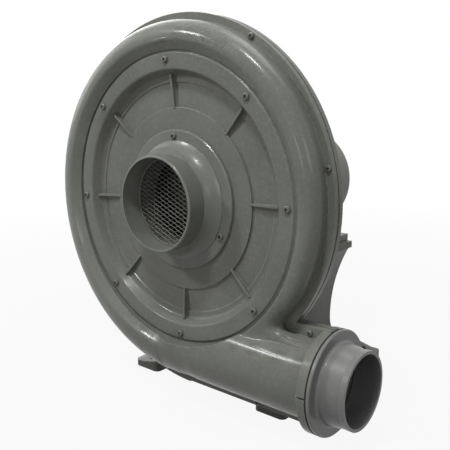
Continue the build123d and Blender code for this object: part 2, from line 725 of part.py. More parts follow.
with BuildPart() as inlet_screws:
    add(round_head(station(INLET_FACE), inlet_points(), COVER_HEAD_RADIUS, COVER_HEAD_HEIGHT, HEAD_ROUND))
    shank = INLET_FLANGE_THICKNESS + COVER_WALL
    extrude(dots(station(INLET_FACE + shank), inlet_points(), COVER_SCREW_RADIUS), amount=shank)
inlet_screws.part.label = "inlet_screws"
export_step(inlet_screws.part, "parts/inlet_screws.step")

# Guard: a rim against the nozzle's bore with two layers of crossing wires.
guard_outer = INLET_RADIUS - INLET_WALL
guard_top = -GUARD_DEPTH - GUARD_WIRE - GUARD_LAYER_GAP
with BuildPart() as inlet_guard:
    for turn, front in ((GUARD_TURN, guard_top), (-GUARD_TURN, guard_top + GUARD_WIRE + GUARD_LAYER_GAP)):
        with BuildSketch(turned_station(front + GUARD_WIRE, turn)):
            with GridLocations(GUARD_PITCH, 1, GUARD_BARS, 1):
                Rectangle(GUARD_WIRE, 2 * guard_outer)
        extrude(amount=GUARD_WIRE)
    extrude(disc(0, guard_outer - GUARD_RIM / 2), amount=INLET_LENGTH, mode=Mode.INTERSECT)
    revolve(ring(guard_outer - GUARD_RIM, guard_outer, guard_top - GUARD_WIRE, -GUARD_DEPTH + GUARD_WIRE), axis=SHAFT_AXIS)
inlet_guard.part.label = "inlet_guard"
export_step(inlet_guard.part, "parts/inlet_guard.step")

# Outlet nozzle, turned about the duct's axis.
with BuildPart() as outlet_nozzle:
    root = NOZZLE_START + NOZZLE_FLANGE_THICKNESS
    tip = NOZZLE_START + NOZZLE_LENGTH
    bore = DUCT_RADIUS - CASING_WALL
    with BuildSketch(OUTLET_SIDE):
        with BuildLine():
            Polyline(
                (root + NOZZLE_BLEND, NOZZLE_ROOT_RADIUS),
                (tip - NOZZLE_BEAD, NOZZLE_TIP_RADIUS),
                (tip - NOZZLE_BEAD, NOZZLE_TIP_RADIUS + NOZZLE_BEAD_RISE),
                (tip, NOZZLE_TIP_RADIUS + NOZZLE_BEAD_RISE),
                (tip, NOZZLE_TIP_RADIUS - NOZZLE_WALL),
                (root, bore),
                (NOZZLE_START, bore),
                (NOZZLE_START, OUTLET_FLANGE_RADIUS - NOZZLE_FLANGE_ROUND),
                (NOZZLE_START + NOZZLE_FLANGE_ROUND, OUTLET_FLANGE_RADIUS),
                (root - NOZZLE_FLANGE_ROUND, OUTLET_FLANGE_RADIUS),
                (root, OUTLET_FLANGE_RADIUS - NOZZLE_FLANGE_ROUND),
                (root, NOZZLE_ROOT_RADIUS + NOZZLE_BLEND),
            )
            blend_end = (root + NOZZLE_BLEND, NOZZLE_ROOT_RADIUS)
            TangentArc((root, NOZZLE_ROOT_RADIUS + NOZZLE_BLEND), blend_end, tangent=(0, -1))
        make_face()
    revolve(axis=OUTLET_AXIS)
    nozzle_holes = dots(duct_station(NOZZLE_START), outlet_points(), OUTLET_BOLT_RADIUS)
    extrude(nozzle_holes, amount=NOZZLE_THREAD, mode=Mode.SUBTRACT)
outlet_nozzle.part.label = "outlet_nozzle"
export_step(outlet_nozzle.part, "parts/outlet_nozzle.step")

with BuildPart() as outlet_gasket:
    extrude(duct_circle(DUCT_END, OUTLET_FLANGE_RADIUS - GASKET_SETBACK / 2), amount=OUTLET_GASKET)
    extrude(duct_circle(DUCT_END, DUCT_RADIUS - CASING_WALL), amount=OUTLET_GASKET, mode=Mode.SUBTRACT)
    gasket_holes = dots(duct_station(DUCT_END), outlet_points(), OUTLET_BOLT_RADIUS)
    extrude(gasket_holes, amount=OUTLET_GASKET, mode=Mode.SUBTRACT)
outlet_gasket.part.label = "outlet_gasket"
export_step(outlet_gasket.part, "parts/outlet_gasket.step")

with BuildPart() as outlet_screws:
    head_seat = DUCT_END - OUTLET_FLANGE_THICKNESS
    grip = OUTLET_FLANGE_THICKNESS + OUTLET_GASKET + NOZZLE_THREAD
    extrude(dots(duct_station(head_seat), outlet_points(), OUTLET_HEAD_RADIUS), amount=-OUTLET_HEAD_HEIGHT)
    extrude(dots(duct_station(head_seat), outlet_points(), OUTLET_BOLT_RADIUS), amount=grip)
outlet_screws.part.label = "outlet_screws"
export_step(outlet_screws.part, "parts/outlet_screws.step")


# Impeller: a flat backplate, a dished shroud and blades between them that lean back from the turning
# direction.
def shroud_profile(thickness):
    """Section of the shroud, swept from the eye to the tip."""
    middle = ((EYE_RADIUS + IMPELLER_RADIUS) / 2, (EYE_DEPTH + TIP_DEPTH) / 2 + SHROUD_DISH)
    with BuildSketch(AXIAL) as outline:
        with BuildLine():
            ThreePointArc((EYE_RADIUS, EYE_DEPTH), middle, (IMPELLER_RADIUS, TIP_DEPTH))
            Line((IMPELLER_RADIUS, TIP_DEPTH), (IMPELLER_RADIUS, TIP_DEPTH + thickness))
            back = (middle[0], middle[1] + thickness)
            ThreePointArc((IMPELLER_RADIUS, TIP_DEPTH + thickness), back, (EYE_RADIUS, EYE_DEPTH + thickness))
            Line((EYE_RADIUS, EYE_DEPTH + thickness), (EYE_RADIUS, EYE_DEPTH))
        make_face()
    return outline.sketch


with BuildPart() as impeller_shroud:
    revolve(shroud_profile(SHROUD_THICKNESS), axis=SHAFT_AXIS)
impeller_shroud.part.label = "impeller_shroud"
export_step(impeller_shroud.part, "parts/impeller_shroud.step")

with BuildPart() as impeller_backplate:
    extrude(disc(BACKPLATE_DEPTH + BACKPLATE_THICKNESS, IMPELLER_RADIUS), amount=BACKPLATE_THICKNESS)
    extrude(disc(BACKPLATE_DEPTH + BACKPLATE_THICKNESS, HUB_RADIUS), amount=BACKPLATE_THICKNESS, mode=Mode.SUBTRACT)
impeller_backplate.part.label = "impeller_backplate"
export_step(impeller_backplate.part, "parts/impeller_backplate.step")

with BuildPart() as blade:
    with BuildSketch(station(BACKPLATE_DEPTH)):
        with BuildLine():
            root_point = Vector(*polar(BLADE_INNER, 0))
            tip_point = Vector(*polar(BLADE_OUTER, BLADE_SWEEP))
            chord = (tip_point - root_point).normalized()
            bulge = Vector(chord.Y, -chord.X) * BLADE_BOW
            blade_line = ThreePointArc(root_point, (root_point + tip_point) / 2 + bulge, tip_point)
            offset(blade_line, amount=BLADE_THICKNESS / 2, side=Side.BOTH)
        make_face()
    extrude(amount=BACKPLATE_DEPTH - EYE_DEPTH)
    extrude(disc(BACKPLATE_DEPTH, BLADE_OUTER), amount=BACKPLATE_DEPTH - EYE_DEPTH, mode=Mode.INTERSECT)
    revolve(shroud_profile(SHROUD_THICKNESS), axis=SHAFT_AXIS, mode=Mode.SUBTRACT)
    add(blade.part.solids().sort_by(Axis.Y)[-1], mode=Mode.REPLACE)

with BuildPart() as impeller_blades:
    for number in range(BLADE_COUNT):
        add(blade.part.rotate(SHAFT_AXIS, 360 / BLADE_COUNT * number))
impeller_blades.part.label = "impeller_blades"
export_step(impeller_blades.part, "parts/impeller_blades.step")

with BuildPart() as impeller_hub:
    backplate_front = BACKPLATE_DEPTH
    extrude(disc(HUB_REAR, HUB_RADIUS), amount=HUB_REAR - HUB_FRONT)
    extrude(disc(backplate_front, HUB_FLANGE_RADIUS), amount=HUB_FLANGE_THICKNESS)
    extrude(disc(HUB_REAR, SHAFT_RADIUS), amount=HUB_REAR - HUB_FRONT, mode=Mode.SUBTRACT)
    with BuildSketch(station(HUB_REAR)):
        with Locations((0, SHAFT_RADIUS - KEY_SEAT)):
            Rectangle(KEY_WIDTH, KEY_HEIGHT, align=(Align.CENTER, Align.MIN))
    extrude(amount=HUB_REAR - HUB_FRONT, mode=Mode.SUBTRACT)
impeller_hub.part.label = "impeller_hub"
export_step(impeller_hub.part, "parts/impeller_hub.step")

with BuildPart() as impeller_washer:
    extrude(disc(HUB_FRONT, WASHER_RADIUS), amount=WASHER_THICKNESS)
    extrude(disc(HUB_FRONT, CLAMP_BOLT_RADIUS), amount=WASHER_THICKNESS, mode=Mode.SUBTRACT)
impeller_washer.part.label = "impeller_washer"
export_step(impeller_washer.part, "parts/impeller_washer.step")

with BuildPart() as impeller_bolt:
    with BuildSketch(station(HUB_FRONT - WASHER_THICKNESS)):
        RegularPolygon(CLAMP_HEAD_RADIUS, 6)
    extrude(amount=CLAMP_HEAD_HEIGHT)
    bolt_reach = HUB_FRONT - WASHER_THICKNESS + CLAMP_BOLT_LENGTH
    extrude(disc(bolt_reach, CLAMP_BOLT_RADIUS), amount=CLAMP_BOLT_LENGTH)
impeller_bolt.part.label = "impeller_bolt"
export_step(impeller_bolt.part, "parts/impeller_bolt.step")

# Shaft: stepped, with a keyway and a threaded end for the impeller and a clip groove behind the fan.
with BuildPart() as shaft:
    front_bearing_end = FRONT_BEARING_DEPTH + BEARING_WIDTH
    clip_front = FAN_REAR
    clip_rear = FAN_REAR + CLIP_THICKNESS
    steps = [
        (0, HUB_FRONT),
        (SHAFT_RADIUS, HUB_FRONT),
        (SHAFT_RADIUS, HUB_REAR),
        (JOURNAL_RADIUS, HUB_REAR),
        (JOURNAL_RADIUS, front_bearing_end),
        (ROTOR_SEAT_RADIUS, front_bearing_end),
        (ROTOR_SEAT_RADIUS, REAR_BEARING_DEPTH),
        (JOURNAL_RADIUS, REAR_BEARING_DEPTH),
        (JOURNAL_RADIUS, REAR_BEARING_DEPTH + BEARING_WIDTH),
        (SHAFT_RADIUS, REAR_BEARING_DEPTH + BEARING_WIDTH),
        (SHAFT_RADIUS, clip_front),
        (SHAFT_RADIUS - CLIP_GROOVE, clip_front),
        (SHAFT_RADIUS - CLIP_GROOVE, clip_rear),
        (SHAFT_RADIUS, clip_rear),
        (SHAFT_RADIUS, SHAFT_END),
        (0, SHAFT_END),
    ]
    with BuildSketch(AXIAL):
        with BuildLine():
            Polyline(*steps, close=True)
        make_face()
    revolve(axis=SHAFT_AXIS)
    extrude(disc(bolt_reach, CLAMP_BOLT_RADIUS), amount=bolt_reach - HUB_FRONT, mode=Mode.SUBTRACT)
    with BuildSketch(station(HUB_REAR - KEY_MARGIN)):
        with Locations((0, SHAFT_RADIUS - KEY_SEAT)):
            Rectangle(KEY_WIDTH, KEY_HEIGHT, align=(Align.CENTER, Align.MIN))
    extrude(amount=HUB_REAR - HUB_FRONT - 2 * KEY_MARGIN, mode=Mode.SUBTRACT)
shaft.part.label = "shaft"
export_step(shaft.part, "parts/shaft.step")

with BuildPart() as shaft_key:
    with BuildSketch(station(HUB_REAR - KEY_MARGIN)):
        with Locations((0, SHAFT_RADIUS - KEY_SEAT)):
            Rectangle(KEY_WIDTH, KEY_HEIGHT, align=(Align.CENTER, Align.MIN))
    extrude(amount=HUB_REAR - HUB_FRONT - 2 * KEY_MARGIN)
shaft_key.part.label = "shaft_key"
export_step(shaft_key.part, "parts/shaft_key.step")

with BuildPart() as shaft_seal:
    seal_lip = JOURNAL_RADIUS + SEAL_CLEARANCE
    revolve(ring(seal_lip, SEAL_RADIUS, SEAL_DEPTH, SEAL_DEPTH + SEAL_WIDTH), axis=SHAFT_AXIS)
shaft_seal.part.label = "shaft_seal"
export_step(shaft_seal.part, "parts/shaft_seal.step")


# Ball bearings: two grooved rings and a crown cage that carries the balls.
def ball_groove(front):
    """Round groove that the balls run in."""
    with BuildSketch(AXIAL) as outline:
        with Locations((BALL_PITCH, front + BEARING_WIDTH / 2)):
            Circle(GROOVE_RADIUS)
    return outline.sketch


def bearing_ring(inner, outer, front):
    """One ring of a bearing."""
    with BuildPart() as race:
        revolve(ring(inner, outer, front, front + BEARING_WIDTH), axis=SHAFT_AXIS)
        revolve(ball_groove(front), axis=SHAFT_AXIS, mode=Mode.SUBTRACT)
    return race.part


def bearing_balls(front):
    """Balls joined by their cage."""
    middle = front + BEARING_WIDTH / 2
    with BuildPart() as balls:
        revolve(ring(CAGE_INNER, CAGE_OUTER, middle - CAGE_WIDTH / 2, middle + CAGE_WIDTH / 2), axis=SHAFT_AXIS)
        with Locations(station(middle)):
            with PolarLocations(BALL_PITCH, BALL_COUNT):
                Sphere(BALL_RADIUS)
    return balls.part


with BuildPart() as front_bearing_outer_ring:
    add(bearing_ring(OUTER_RING_BORE, BEARING_RADIUS, FRONT_BEARING_DEPTH))
front_bearing_outer_ring.part.label = "front_bearing_outer_ring"
export_step(front_bearing_outer_ring.part, "parts/front_bearing_outer_ring.step")

with BuildPart() as front_bearing_inner_ring:
    add(bearing_ring(JOURNAL_RADIUS, INNER_RING_RADIUS, FRONT_BEARING_DEPTH))
front_bearing_inner_ring.part.label = "front_bearing_inner_ring"
export_step(front_bearing_inner_ring.part, "parts/front_bearing_inner_ring.step")

with BuildPart() as front_bearing_balls:
    add(bearing_balls(FRONT_BEARING_DEPTH))
front_bearing_balls.part.label = "front_bearing_balls"
export_step(front_bearing_balls.part, "parts/front_bearing_balls.step")

with BuildPart() as rear_bearing_outer_ring:
    add(bearing_ring(OUTER_RING_BORE, BEARING_RADIUS, REAR_BEARING_DEPTH))
rear_bearing_outer_ring.part.label = "rear_bearing_outer_ring"
export_step(rear_bearing_outer_ring.part, "parts/rear_bearing_outer_ring.step")

with BuildPart() as rear_bearing_inner_ring:
    add(bearing_ring(JOURNAL_RADIUS, INNER_RING_RADIUS, REAR_BEARING_DEPTH))
rear_bearing_inner_ring.part.label = "rear_bearing_inner_ring"
export_step(rear_bearing_inner_ring.part, "parts/rear_bearing_inner_ring.step")

with BuildPart() as rear_bearing_balls:
    add(bearing_balls(REAR_BEARING_DEPTH))
rear_bearing_balls.part.label = "rear_bearing_balls"
export_step(rear_bearing_balls.part, "parts/rear_bearing_balls.step")

# Motor end shields
with BuildPart() as drive_end_shield:
    seat_end = FRONT_BEARING_DEPTH + BEARING_WIDTH
    neck_rear = FRAME_FRONT - RIM_THICKNESS
    flange_rear = REAR_OUTER_DEPTH + MOTOR_FLANGE_THICKNESS
    groove_front = (REAR_OUTER_DEPTH + flange_rear - FLANGE_GROOVE_WIDTH) / 2
    shield_outline = [
        (SHAFT_HOLE, REAR_WALL_DEPTH),
        (REAR_BORE, REAR_WALL_DEPTH),
        (REAR_BORE, REAR_OUTER_DEPTH),
        (MOTOR_FLANGE_RADIUS, REAR_OUTER_DEPTH),
        (MOTOR_FLANGE_RADIUS, groove_front),
        (MOTOR_FLANGE_RADIUS - FLANGE_GROOVE_DEPTH, groove_front),
        (MOTOR_FLANGE_RADIUS - FLANGE_GROOVE_DEPTH, groove_front + FLANGE_GROOVE_WIDTH),
        (MOTOR_FLANGE_RADIUS, groove_front + FLANGE_GROOVE_WIDTH),
        (MOTOR_FLANGE_RADIUS, flange_rear - MOTOR_FLANGE_BEVEL),
        (MOTOR_FLANGE_RADIUS - MOTOR_FLANGE_BEVEL, flange_rear),
        (SHIELD_BODY, flange_rear),
        (SHIELD_BODY, neck_rear),
        (FIN_RADIUS, neck_rear),
        (FIN_RADIUS, FRAME_FRONT),
        (FRAME_BORE, FRAME_FRONT),
        (FRAME_BORE, FRAME_FRONT + SHIELD_SPIGOT),
        (FRAME_BORE - SHIELD_WEB, FRAME_FRONT + SHIELD_SPIGOT),
        (FRAME_BORE - SHIELD_WEB, flange_rear),
        (SHIELD_HUB_RADIUS, flange_rear),
        (SHIELD_HUB_RADIUS, seat_end),
        (BEARING_RADIUS, seat_end),
        (BEARING_RADIUS, FRONT_BEARING_DEPTH),
        (SHAFT_HOLE, FRONT_BEARING_DEPTH),
    ]
    revolve(profile(AXIAL, shield_outline, [0] * len(shield_outline)), axis=SHAFT_AXIS)
    extrude(disc(SEAL_DEPTH + SEAL_WIDTH, SEAL_RADIUS), amount=SEAL_DEPTH + SEAL_WIDTH - REAR_WALL_DEPTH, mode=Mode.SUBTRACT)
    flange_holes = dots(station(flange_rear), motor_points(), MOTOR_BOLT_RADIUS)
    extrude(flange_holes, amount=MOTOR_FLANGE_THICKNESS, mode=Mode.SUBTRACT)
    rim_holes = dots(station(FRAME_FRONT), tie_points(), TIE_BOLT_RADIUS)
    extrude(rim_holes, amount=RIM_THICKNESS, mode=Mode.SUBTRACT)
drive_end_shield.part.label = "drive_end_shield"
export_step(drive_end_shield.part, "parts/drive_end_shield.step")

with BuildPart() as rear_end_shield:
    seat_rear = REAR_BEARING_DEPTH + BEARING_WIDTH + SPRING_THICKNESS
    shield_outline = [
        (SHAFT_HOLE, seat_rear),
        (BEARING_RADIUS, seat_rear),
        (BEARING_RADIUS, REAR_BEARING_DEPTH),
        (SHIELD_HUB_RADIUS, REAR_BEARING_DEPTH),
        (SHIELD_HUB_RADIUS, REAR_SHIELD_OUTER - SHIELD_WEB),
        (FRAME_BORE - SHIELD_WEB, REAR_SHIELD_OUTER - SHIELD_WEB),
        (FRAME_BORE - SHIELD_WEB, FRAME_REAR - SHIELD_SPIGOT),
        (FRAME_BORE, FRAME_REAR - SHIELD_SPIGOT),
        (FRAME_BORE, FRAME_REAR),
        (FIN_RADIUS, FRAME_REAR),
        (FIN_RADIUS, REAR_SHIELD_OUTER),
        (SHIELD_BOSS, REAR_SHIELD_OUTER),
        (SHIELD_HUB_RADIUS, seat_rear + SHIELD_WEB),
        (SHAFT_HOLE, seat_rear + SHIELD_WEB),
    ]
    revolve(profile(AXIAL, shield_outline, [0] * len(shield_outline)), axis=SHAFT_AXIS)
    with BuildSketch(station(REAR_SHIELD_OUTER)):
        with PolarLocations(0, 4):
            Rectangle(2 * COWL_RADIUS, LUG_WIDTH)
        Circle(COWL_RADIUS - COWL_SHEET, mode=Mode.INTERSECT)
        Circle(FRAME_BORE, mode=Mode.SUBTRACT)
    extrude(amount=RIM_THICKNESS)
    rim_holes = dots(station(REAR_SHIELD_OUTER), tie_points(), TIE_BOLT_RADIUS)
    extrude(rim_holes, amount=RIM_THICKNESS, mode=Mode.SUBTRACT)
    for angle in COWL_SCREW_ANGLES:
        with BuildSketch(radial_plane(angle, FRAME_BORE, LUG_DEPTH)):
            Circle(COWL_SCREW_RADIUS)
        extrude(amount=COWL_RADIUS - FRAME_BORE, mode=Mode.SUBTRACT)
rear_end_shield.part.label = "rear_end_shield"
export_step(rear_end_shield.part, "parts/rear_end_shield.step")

with BuildPart() as wave_spring:
    spring_front = REAR_BEARING_DEPTH + BEARING_WIDTH
    revolve(ring(SPRING_INNER, BEARING_RADIUS, spring_front, spring_front + SPRING_THICKNESS), axis=SHAFT_AXIS)
wave_spring.part.label = "wave_spring"
export_step(wave_spring.part, "parts/wave_spring.step")

# Motor frame: finned tube with a pad for the terminal box and two feet.
with BuildPart() as motor_frame:
    with BuildSketch(station(FRAME_REAR)):
        Circle(FRAME_RADIUS)
        with PolarLocations(FRAME_RADIUS - FIN_WIDTH, FIN_COUNT, start_angle=180 / FIN_COUNT):
            Rectangle(FIN_RADIUS - FRAME_RADIUS + FIN_WIDTH, FIN_WIDTH, align=(Align.MIN, Align.CENTER))
    extrude(amount=FRAME_REAR - FRAME_FRONT)
    with BuildSketch(level(PAD_HEIGHT)):
        with Locations((0, BOX_MIDDLE_DEPTH)):
            Rectangle(PAD_WIDTH, PAD_LENGTH)
    extrude(amount=-PAD_DEPTH)
    with BuildSketch(station(FRAME_REAR)):
        with BuildLine():
            Polyline(
                (FOOT_INNER, -MOTOR_HEIGHT),
                (FOOT_OUTER, -MOTOR_HEIGHT),
                (FOOT_OUTER, FOOT_THICKNESS - MOTOR_HEIGHT),
                (FOOT_RELIEF, FOOT_THICKNESS - MOTOR_HEIGHT),
                (FOOT_WEB_OUTER, -FOOT_WEB_TOP),
                (FOOT_WEB_INNER, -FOOT_WEB_TOP),
                close=True,
            )
        make_face()
        mirror(about=Plane.YZ)
    extrude(amount=FRAME_REAR - FOOT_FRONT)
    with BuildSketch(level(-MOTOR_HEIGHT)):
        for side in (-1, 1):
            with Locations((side * (FOOT_RELIEF + FOOT_OUTER) / 2, (FOOT_FRONT + FRAME_REAR) / 2)):
                Rectangle(FOOT_OUTER - FOOT_RELIEF, FRAME_REAR - FOOT_FRONT - 2 * FOOT_PAD)
    extrude(amount=FOOT_THICKNESS, mode=Mode.SUBTRACT)
    cowl_gap = ring(FIN_RADIUS, COWL_RADIUS + COWL_CLEARANCE, COWL_FRONT - COWL_CLEARANCE, FRAME_REAR)
    revolve(cowl_gap, axis=SHAFT_AXIS, mode=Mode.SUBTRACT)
    extrude(disc(FRAME_REAR, FRAME_BORE), amount=FRAME_REAR - FRAME_FRONT, mode=Mode.SUBTRACT)
    tie_holes = dots(station(FRAME_REAR), tie_points(), TIE_BOLT_RADIUS)
    extrude(tie_holes, amount=FRAME_REAR - FRAME_FRONT, mode=Mode.SUBTRACT)
    with BuildSketch(level(-MOTOR_HEIGHT)):
        with Locations(*foot_bolt_points()):
            Circle(FOOT_BOLT_RADIUS)
    extrude(amount=FOOT_THICKNESS, mode=Mode.SUBTRACT)
    with BuildSketch(level(PAD_HEIGHT)):
        with Locations((0, BOX_MIDDLE_DEPTH)):
            Circle(WIRE_HOLE)
    extrude(amount=-PAD_DEPTH, mode=Mode.SUBTRACT)
motor_frame.part.label = "motor_frame"
export_step(motor_frame.part, "parts/motor_frame.step")

with BuildPart() as stator_core:
    revolve(ring(STATOR_BORE, FRAME_BORE, STATOR_FRONT, STATOR_REAR), axis=SHAFT_AXIS)
stator_core.part.label = "stator_core"
export_step(stator_core.part, "parts/stator_core.step")

with BuildPart() as stator_windings:
    for front, rear in ((STATOR_FRONT - WINDING_LENGTH, STATOR_FRONT), (STATOR_REAR, STATOR_REAR + WINDING_LENGTH)):
        corners = [(WINDING_INNER, front), (WINDING_OUTER, front), (WINDING_OUTER, rear), (WINDING_INNER, rear)]
        revolve(profile(AXIAL, corners, [WINDING_ROUND] * 4), axis=SHAFT_AXIS)
stator_windings.part.label = "stator_windings"
export_step(stator_windings.part, "parts/stator_windings.step")

with BuildPart() as rotor_core:
    revolve(ring(ROTOR_SEAT_RADIUS, ROTOR_RADIUS, STATOR_FRONT, STATOR_REAR), axis=SHAFT_AXIS)
rotor_core.part.label = "rotor_core"
export_step(rotor_core.part, "parts/rotor_core.step")

with BuildPart() as rotor_end_rings:
    for front in (STATOR_FRONT - RING_LENGTH, STATOR_REAR):
        revolve(ring(RING_INNER, RING_OUTER, front, front + RING_LENGTH), axis=SHAFT_AXIS)
rotor_end_rings.part.label = "rotor_end_rings"
export_step(rotor_end_rings.part, "parts/rotor_end_rings.step")

with BuildPart() as motor_flange_bolts:
    with BuildSketch(station(flange_rear)):
        with Locations(*motor_points()):
            RegularPolygon(MOTOR_HEAD_RADIUS, 6)
    extrude(amount=-MOTOR_HEAD_HEIGHT)
    shanks = dots(station(flange_rear), motor_points(), MOTOR_BOLT_RADIUS)
    extrude(shanks, amount=MOTOR_FLANGE_THICKNESS + CASING_WALL)
motor_flange_bolts.part.label = "motor_flange_bolts"
export_step(motor_flange_bolts.part, "parts/motor_flange_bolts.step")

with BuildPart() as tie_bolts:
    extrude(dots(station(neck_rear), tie_points(), TIE_HEAD_RADIUS), amount=TIE_HEAD_HEIGHT)
    extrude(dots(station(REAR_SHIELD_OUTER), tie_points(), TIE_BOLT_RADIUS), amount=REAR_SHIELD_OUTER - neck_rear)
    with BuildSketch(station(REAR_SHIELD_OUTER)):
        with Locations(*tie_points()):
            RegularPolygon(TIE_HEAD_RADIUS, 6)
    extrude(amount=-TIE_HEAD_HEIGHT)
tie_bolts.part.label = "tie_bolts"
export_step(tie_bolts.part, "parts/tie_bolts.step")

with BuildPart() as motor_foot_bolts:
    with BuildSketch(level(FOOT_THICKNESS - MOTOR_HEIGHT)):
        with Locations(*foot_bolt_points()):
            RegularPolygon(FOOT_HEAD_RADIUS, 6)
    extrude(amount=FOOT_HEAD_HEIGHT)
    with BuildSketch(level(FOOT_THICKNESS - MOTOR_HEIGHT)):
        with Locations(*foot_bolt_points()):
            Circle(FOOT_BOLT_RADIUS)
    extrude(amount=-FOOT_THICKNESS - PLATE_THICKNESS)
motor_foot_bolts.part.label = "motor_foot_bolts"
export_step(motor_foot_bolts.part, "parts/motor_foot_bolts.step")

# Cooling fan and its cowl
with BuildPart() as cooling_fan:
    extrude(disc(FAN_REAR, FAN_HUB_RADIUS), amount=FAN_REAR - FAN_FRONT)
    extrude(disc(FAN_FRONT + FAN_DISC, FAN_RADIUS), amount=FAN_DISC)
    with BuildSketch(station(FAN_REAR)):
        with PolarLocations(SHAFT_RADIUS, FAN_BLADES):
            Rectangle(FAN_RADIUS - SHAFT_RADIUS, FAN_BLADE, align=(Align.MIN, Align.CENTER))
    extrude(amount=FAN_REAR - FAN_FRONT)
    extrude(disc(FAN_REAR, SHAFT_RADIUS), amount=FAN_REAR - FAN_FRONT, mode=Mode.SUBTRACT)
cooling_fan.part.label = "cooling_fan"
export_step(cooling_fan.part, "parts/cooling_fan.step")

with BuildPart() as fan_clip:
    revolve(ring(SHAFT_RADIUS - CLIP_GROOVE, CLIP_RADIUS, clip_front, clip_rear), axis=SHAFT_AXIS)
fan_clip.part.label = "fan_clip"
export_step(fan_clip.part, "parts/fan_clip.step")

with BuildPart() as fan_cowl:
    cowl_outline = [
        (0, COWL_REAR - COWL_SHEET),
        (0, COWL_REAR),
        (COWL_RADIUS, COWL_REAR),
        (COWL_RADIUS, COWL_FRONT),
        (COWL_RADIUS - COWL_SHEET, COWL_FRONT),
        (COWL_RADIUS - COWL_SHEET, COWL_REAR - COWL_SHEET),
    ]
    revolve(profile(AXIAL, cowl_outline, [0, 0, COWL_ROUND, 0, 0, COWL_ROUND - COWL_SHEET]), axis=SHAFT_AXIS)
    with BuildSketch(station(COWL_REAR)):
        with PolarLocations(GRILLE_INNER, GRILLE_SLOTS):
            Rectangle(GRILLE_OUTER - GRILLE_INNER, GRILLE_SLOT, align=(Align.MIN, Align.CENTER))
    extrude(amount=2 * COWL_SHEET, mode=Mode.SUBTRACT)
    for angle in COWL_SCREW_ANGLES:
        with BuildSketch(radial_plane(angle, FRAME_BORE, LUG_DEPTH)):
            Circle(COWL_SCREW_RADIUS)
        extrude(amount=COWL_RADIUS - FRAME_BORE, mode=Mode.SUBTRACT)
fan_cowl.part.label = "fan_cowl"
export_step(fan_cowl.part, "parts/fan_cowl.step")

with BuildPart() as cowl_screws:
    for angle in COWL_SCREW_ANGLES:
        with BuildSketch(radial_plane(angle, COWL_RADIUS, LUG_DEPTH)):
            Circle(COWL_HEAD_RADIUS)
        extrude(amount=COWL_HEAD_HEIGHT)
        with BuildSketch(radial_plane(angle, FRAME_BORE, LUG_DEPTH)):
            Circle(COWL_SCREW_RADIUS)
        extrude(amount=COWL_RADIUS - FRAME_BORE)
cowl_screws.part.label = "cowl_screws"
export_step(cowl_screws.part, "parts/cowl_screws.step")

# Terminal box on top of the frame
BOX_TOP = PAD_HEIGHT + BOX_HEIGHT
LID_BOTTOM = BOX_TOP + SEAL_SHEET
LID_TOP = LID_BOTTOM + LID_THICKNESS


def lid_points():
    """Places of the lid screws."""
    x = BOX_WIDTH / 2 - LID_SCREW_INSET
    y = BOX_LENGTH / 2 - LID_SCREW_INSET
    return [(side * x, BOX_MIDDLE_DEPTH + end * y) for side in (-1, 1) for end in (-1, 1)]


def box_outline(height, inset):
    """Rounded outline of the terminal box."""
    with BuildSketch(level(height)) as outline:
        with Locations((0, BOX_MIDDLE_DEPTH)):
            RectangleRounded(BOX_WIDTH - 2 * inset, BOX_LENGTH - 2 * inset, BOX_CORNER - inset)
    return outline.sketch


with BuildPart() as terminal_box:
    extrude(box_outline(PAD_HEIGHT, 0), amount=BOX_HEIGHT)
    extrude(box_outline(PAD_HEIGHT + BOX_WALL, BOX_WALL), amount=BOX_HEIGHT, mode=Mode.SUBTRACT)
    extrude(dots(level(PAD_HEIGHT), lid_points(), LID_BOSS_RADIUS), amount=BOX_HEIGHT)
    extrude(dots(level(BOX_TOP), lid_points(), LID_SCREW_RADIUS), amount=-LID_SCREW_REACH, mode=Mode.SUBTRACT)
    wire_hole = dots(level(PAD_HEIGHT), [(0, BOX_MIDDLE_DEPTH)], WIRE_HOLE)
    extrude(wire_hole, amount=BOX_WALL, mode=Mode.SUBTRACT)
    gland_side = Plane(
        origin=(-BOX_WIDTH / 2, BOX_MIDDLE_DEPTH - COVER_SETBACK, SHAFT_HEIGHT + PAD_HEIGHT + GLAND_RISE),
        x_dir=(0, 1, 0),
        z_dir=(-1, 0, 0),
    )
    with BuildSketch(gland_side):
        Circle(GLAND_RADIUS)
    extrude(amount=-BOX_WALL, mode=Mode.SUBTRACT)
terminal_box.part.label = "terminal_box"
export_step(terminal_box.part, "parts/terminal_box.step")

with BuildPart() as terminal_box_gasket:
    extrude(box_outline(BOX_TOP, 0), amount=SEAL_SHEET)
    extrude(box_outline(BOX_TOP, BOX_WALL), amount=SEAL_SHEET, mode=Mode.SUBTRACT)
terminal_box_gasket.part.label = "terminal_box_gasket"
export_step(terminal_box_gasket.part, "parts/terminal_box_gasket.step")

with BuildPart() as terminal_box_lid:
    extrude(box_outline(LID_BOTTOM, 0), amount=LID_THICKNESS)
    chamfer(terminal_box_lid.edges().group_by(Axis.Z)[-1], LID_EDGE)
    extrude(dots(level(LID_TOP), lid_points(), LID_SCREW_RADIUS), amount=-LID_THICKNESS, mode=Mode.SUBTRACT)
terminal_box_lid.part.label = "terminal_box_lid"
export_step(terminal_box_lid.part, "parts/terminal_box_lid.step")

with BuildPart() as lid_screws:
    extrude(dots(level(LID_TOP), lid_points(), LID_HEAD_RADIUS), amount=LID_HEAD_HEIGHT)
    screw_length = LID_THICKNESS + SEAL_SHEET + LID_SCREW_REACH
    extrude(dots(level(LID_TOP), lid_points(), LID_SCREW_RADIUS), amount=-screw_length)
lid_screws.part.label = "lid_screws"
export_step(lid_screws.part, "parts/lid_screws.step")

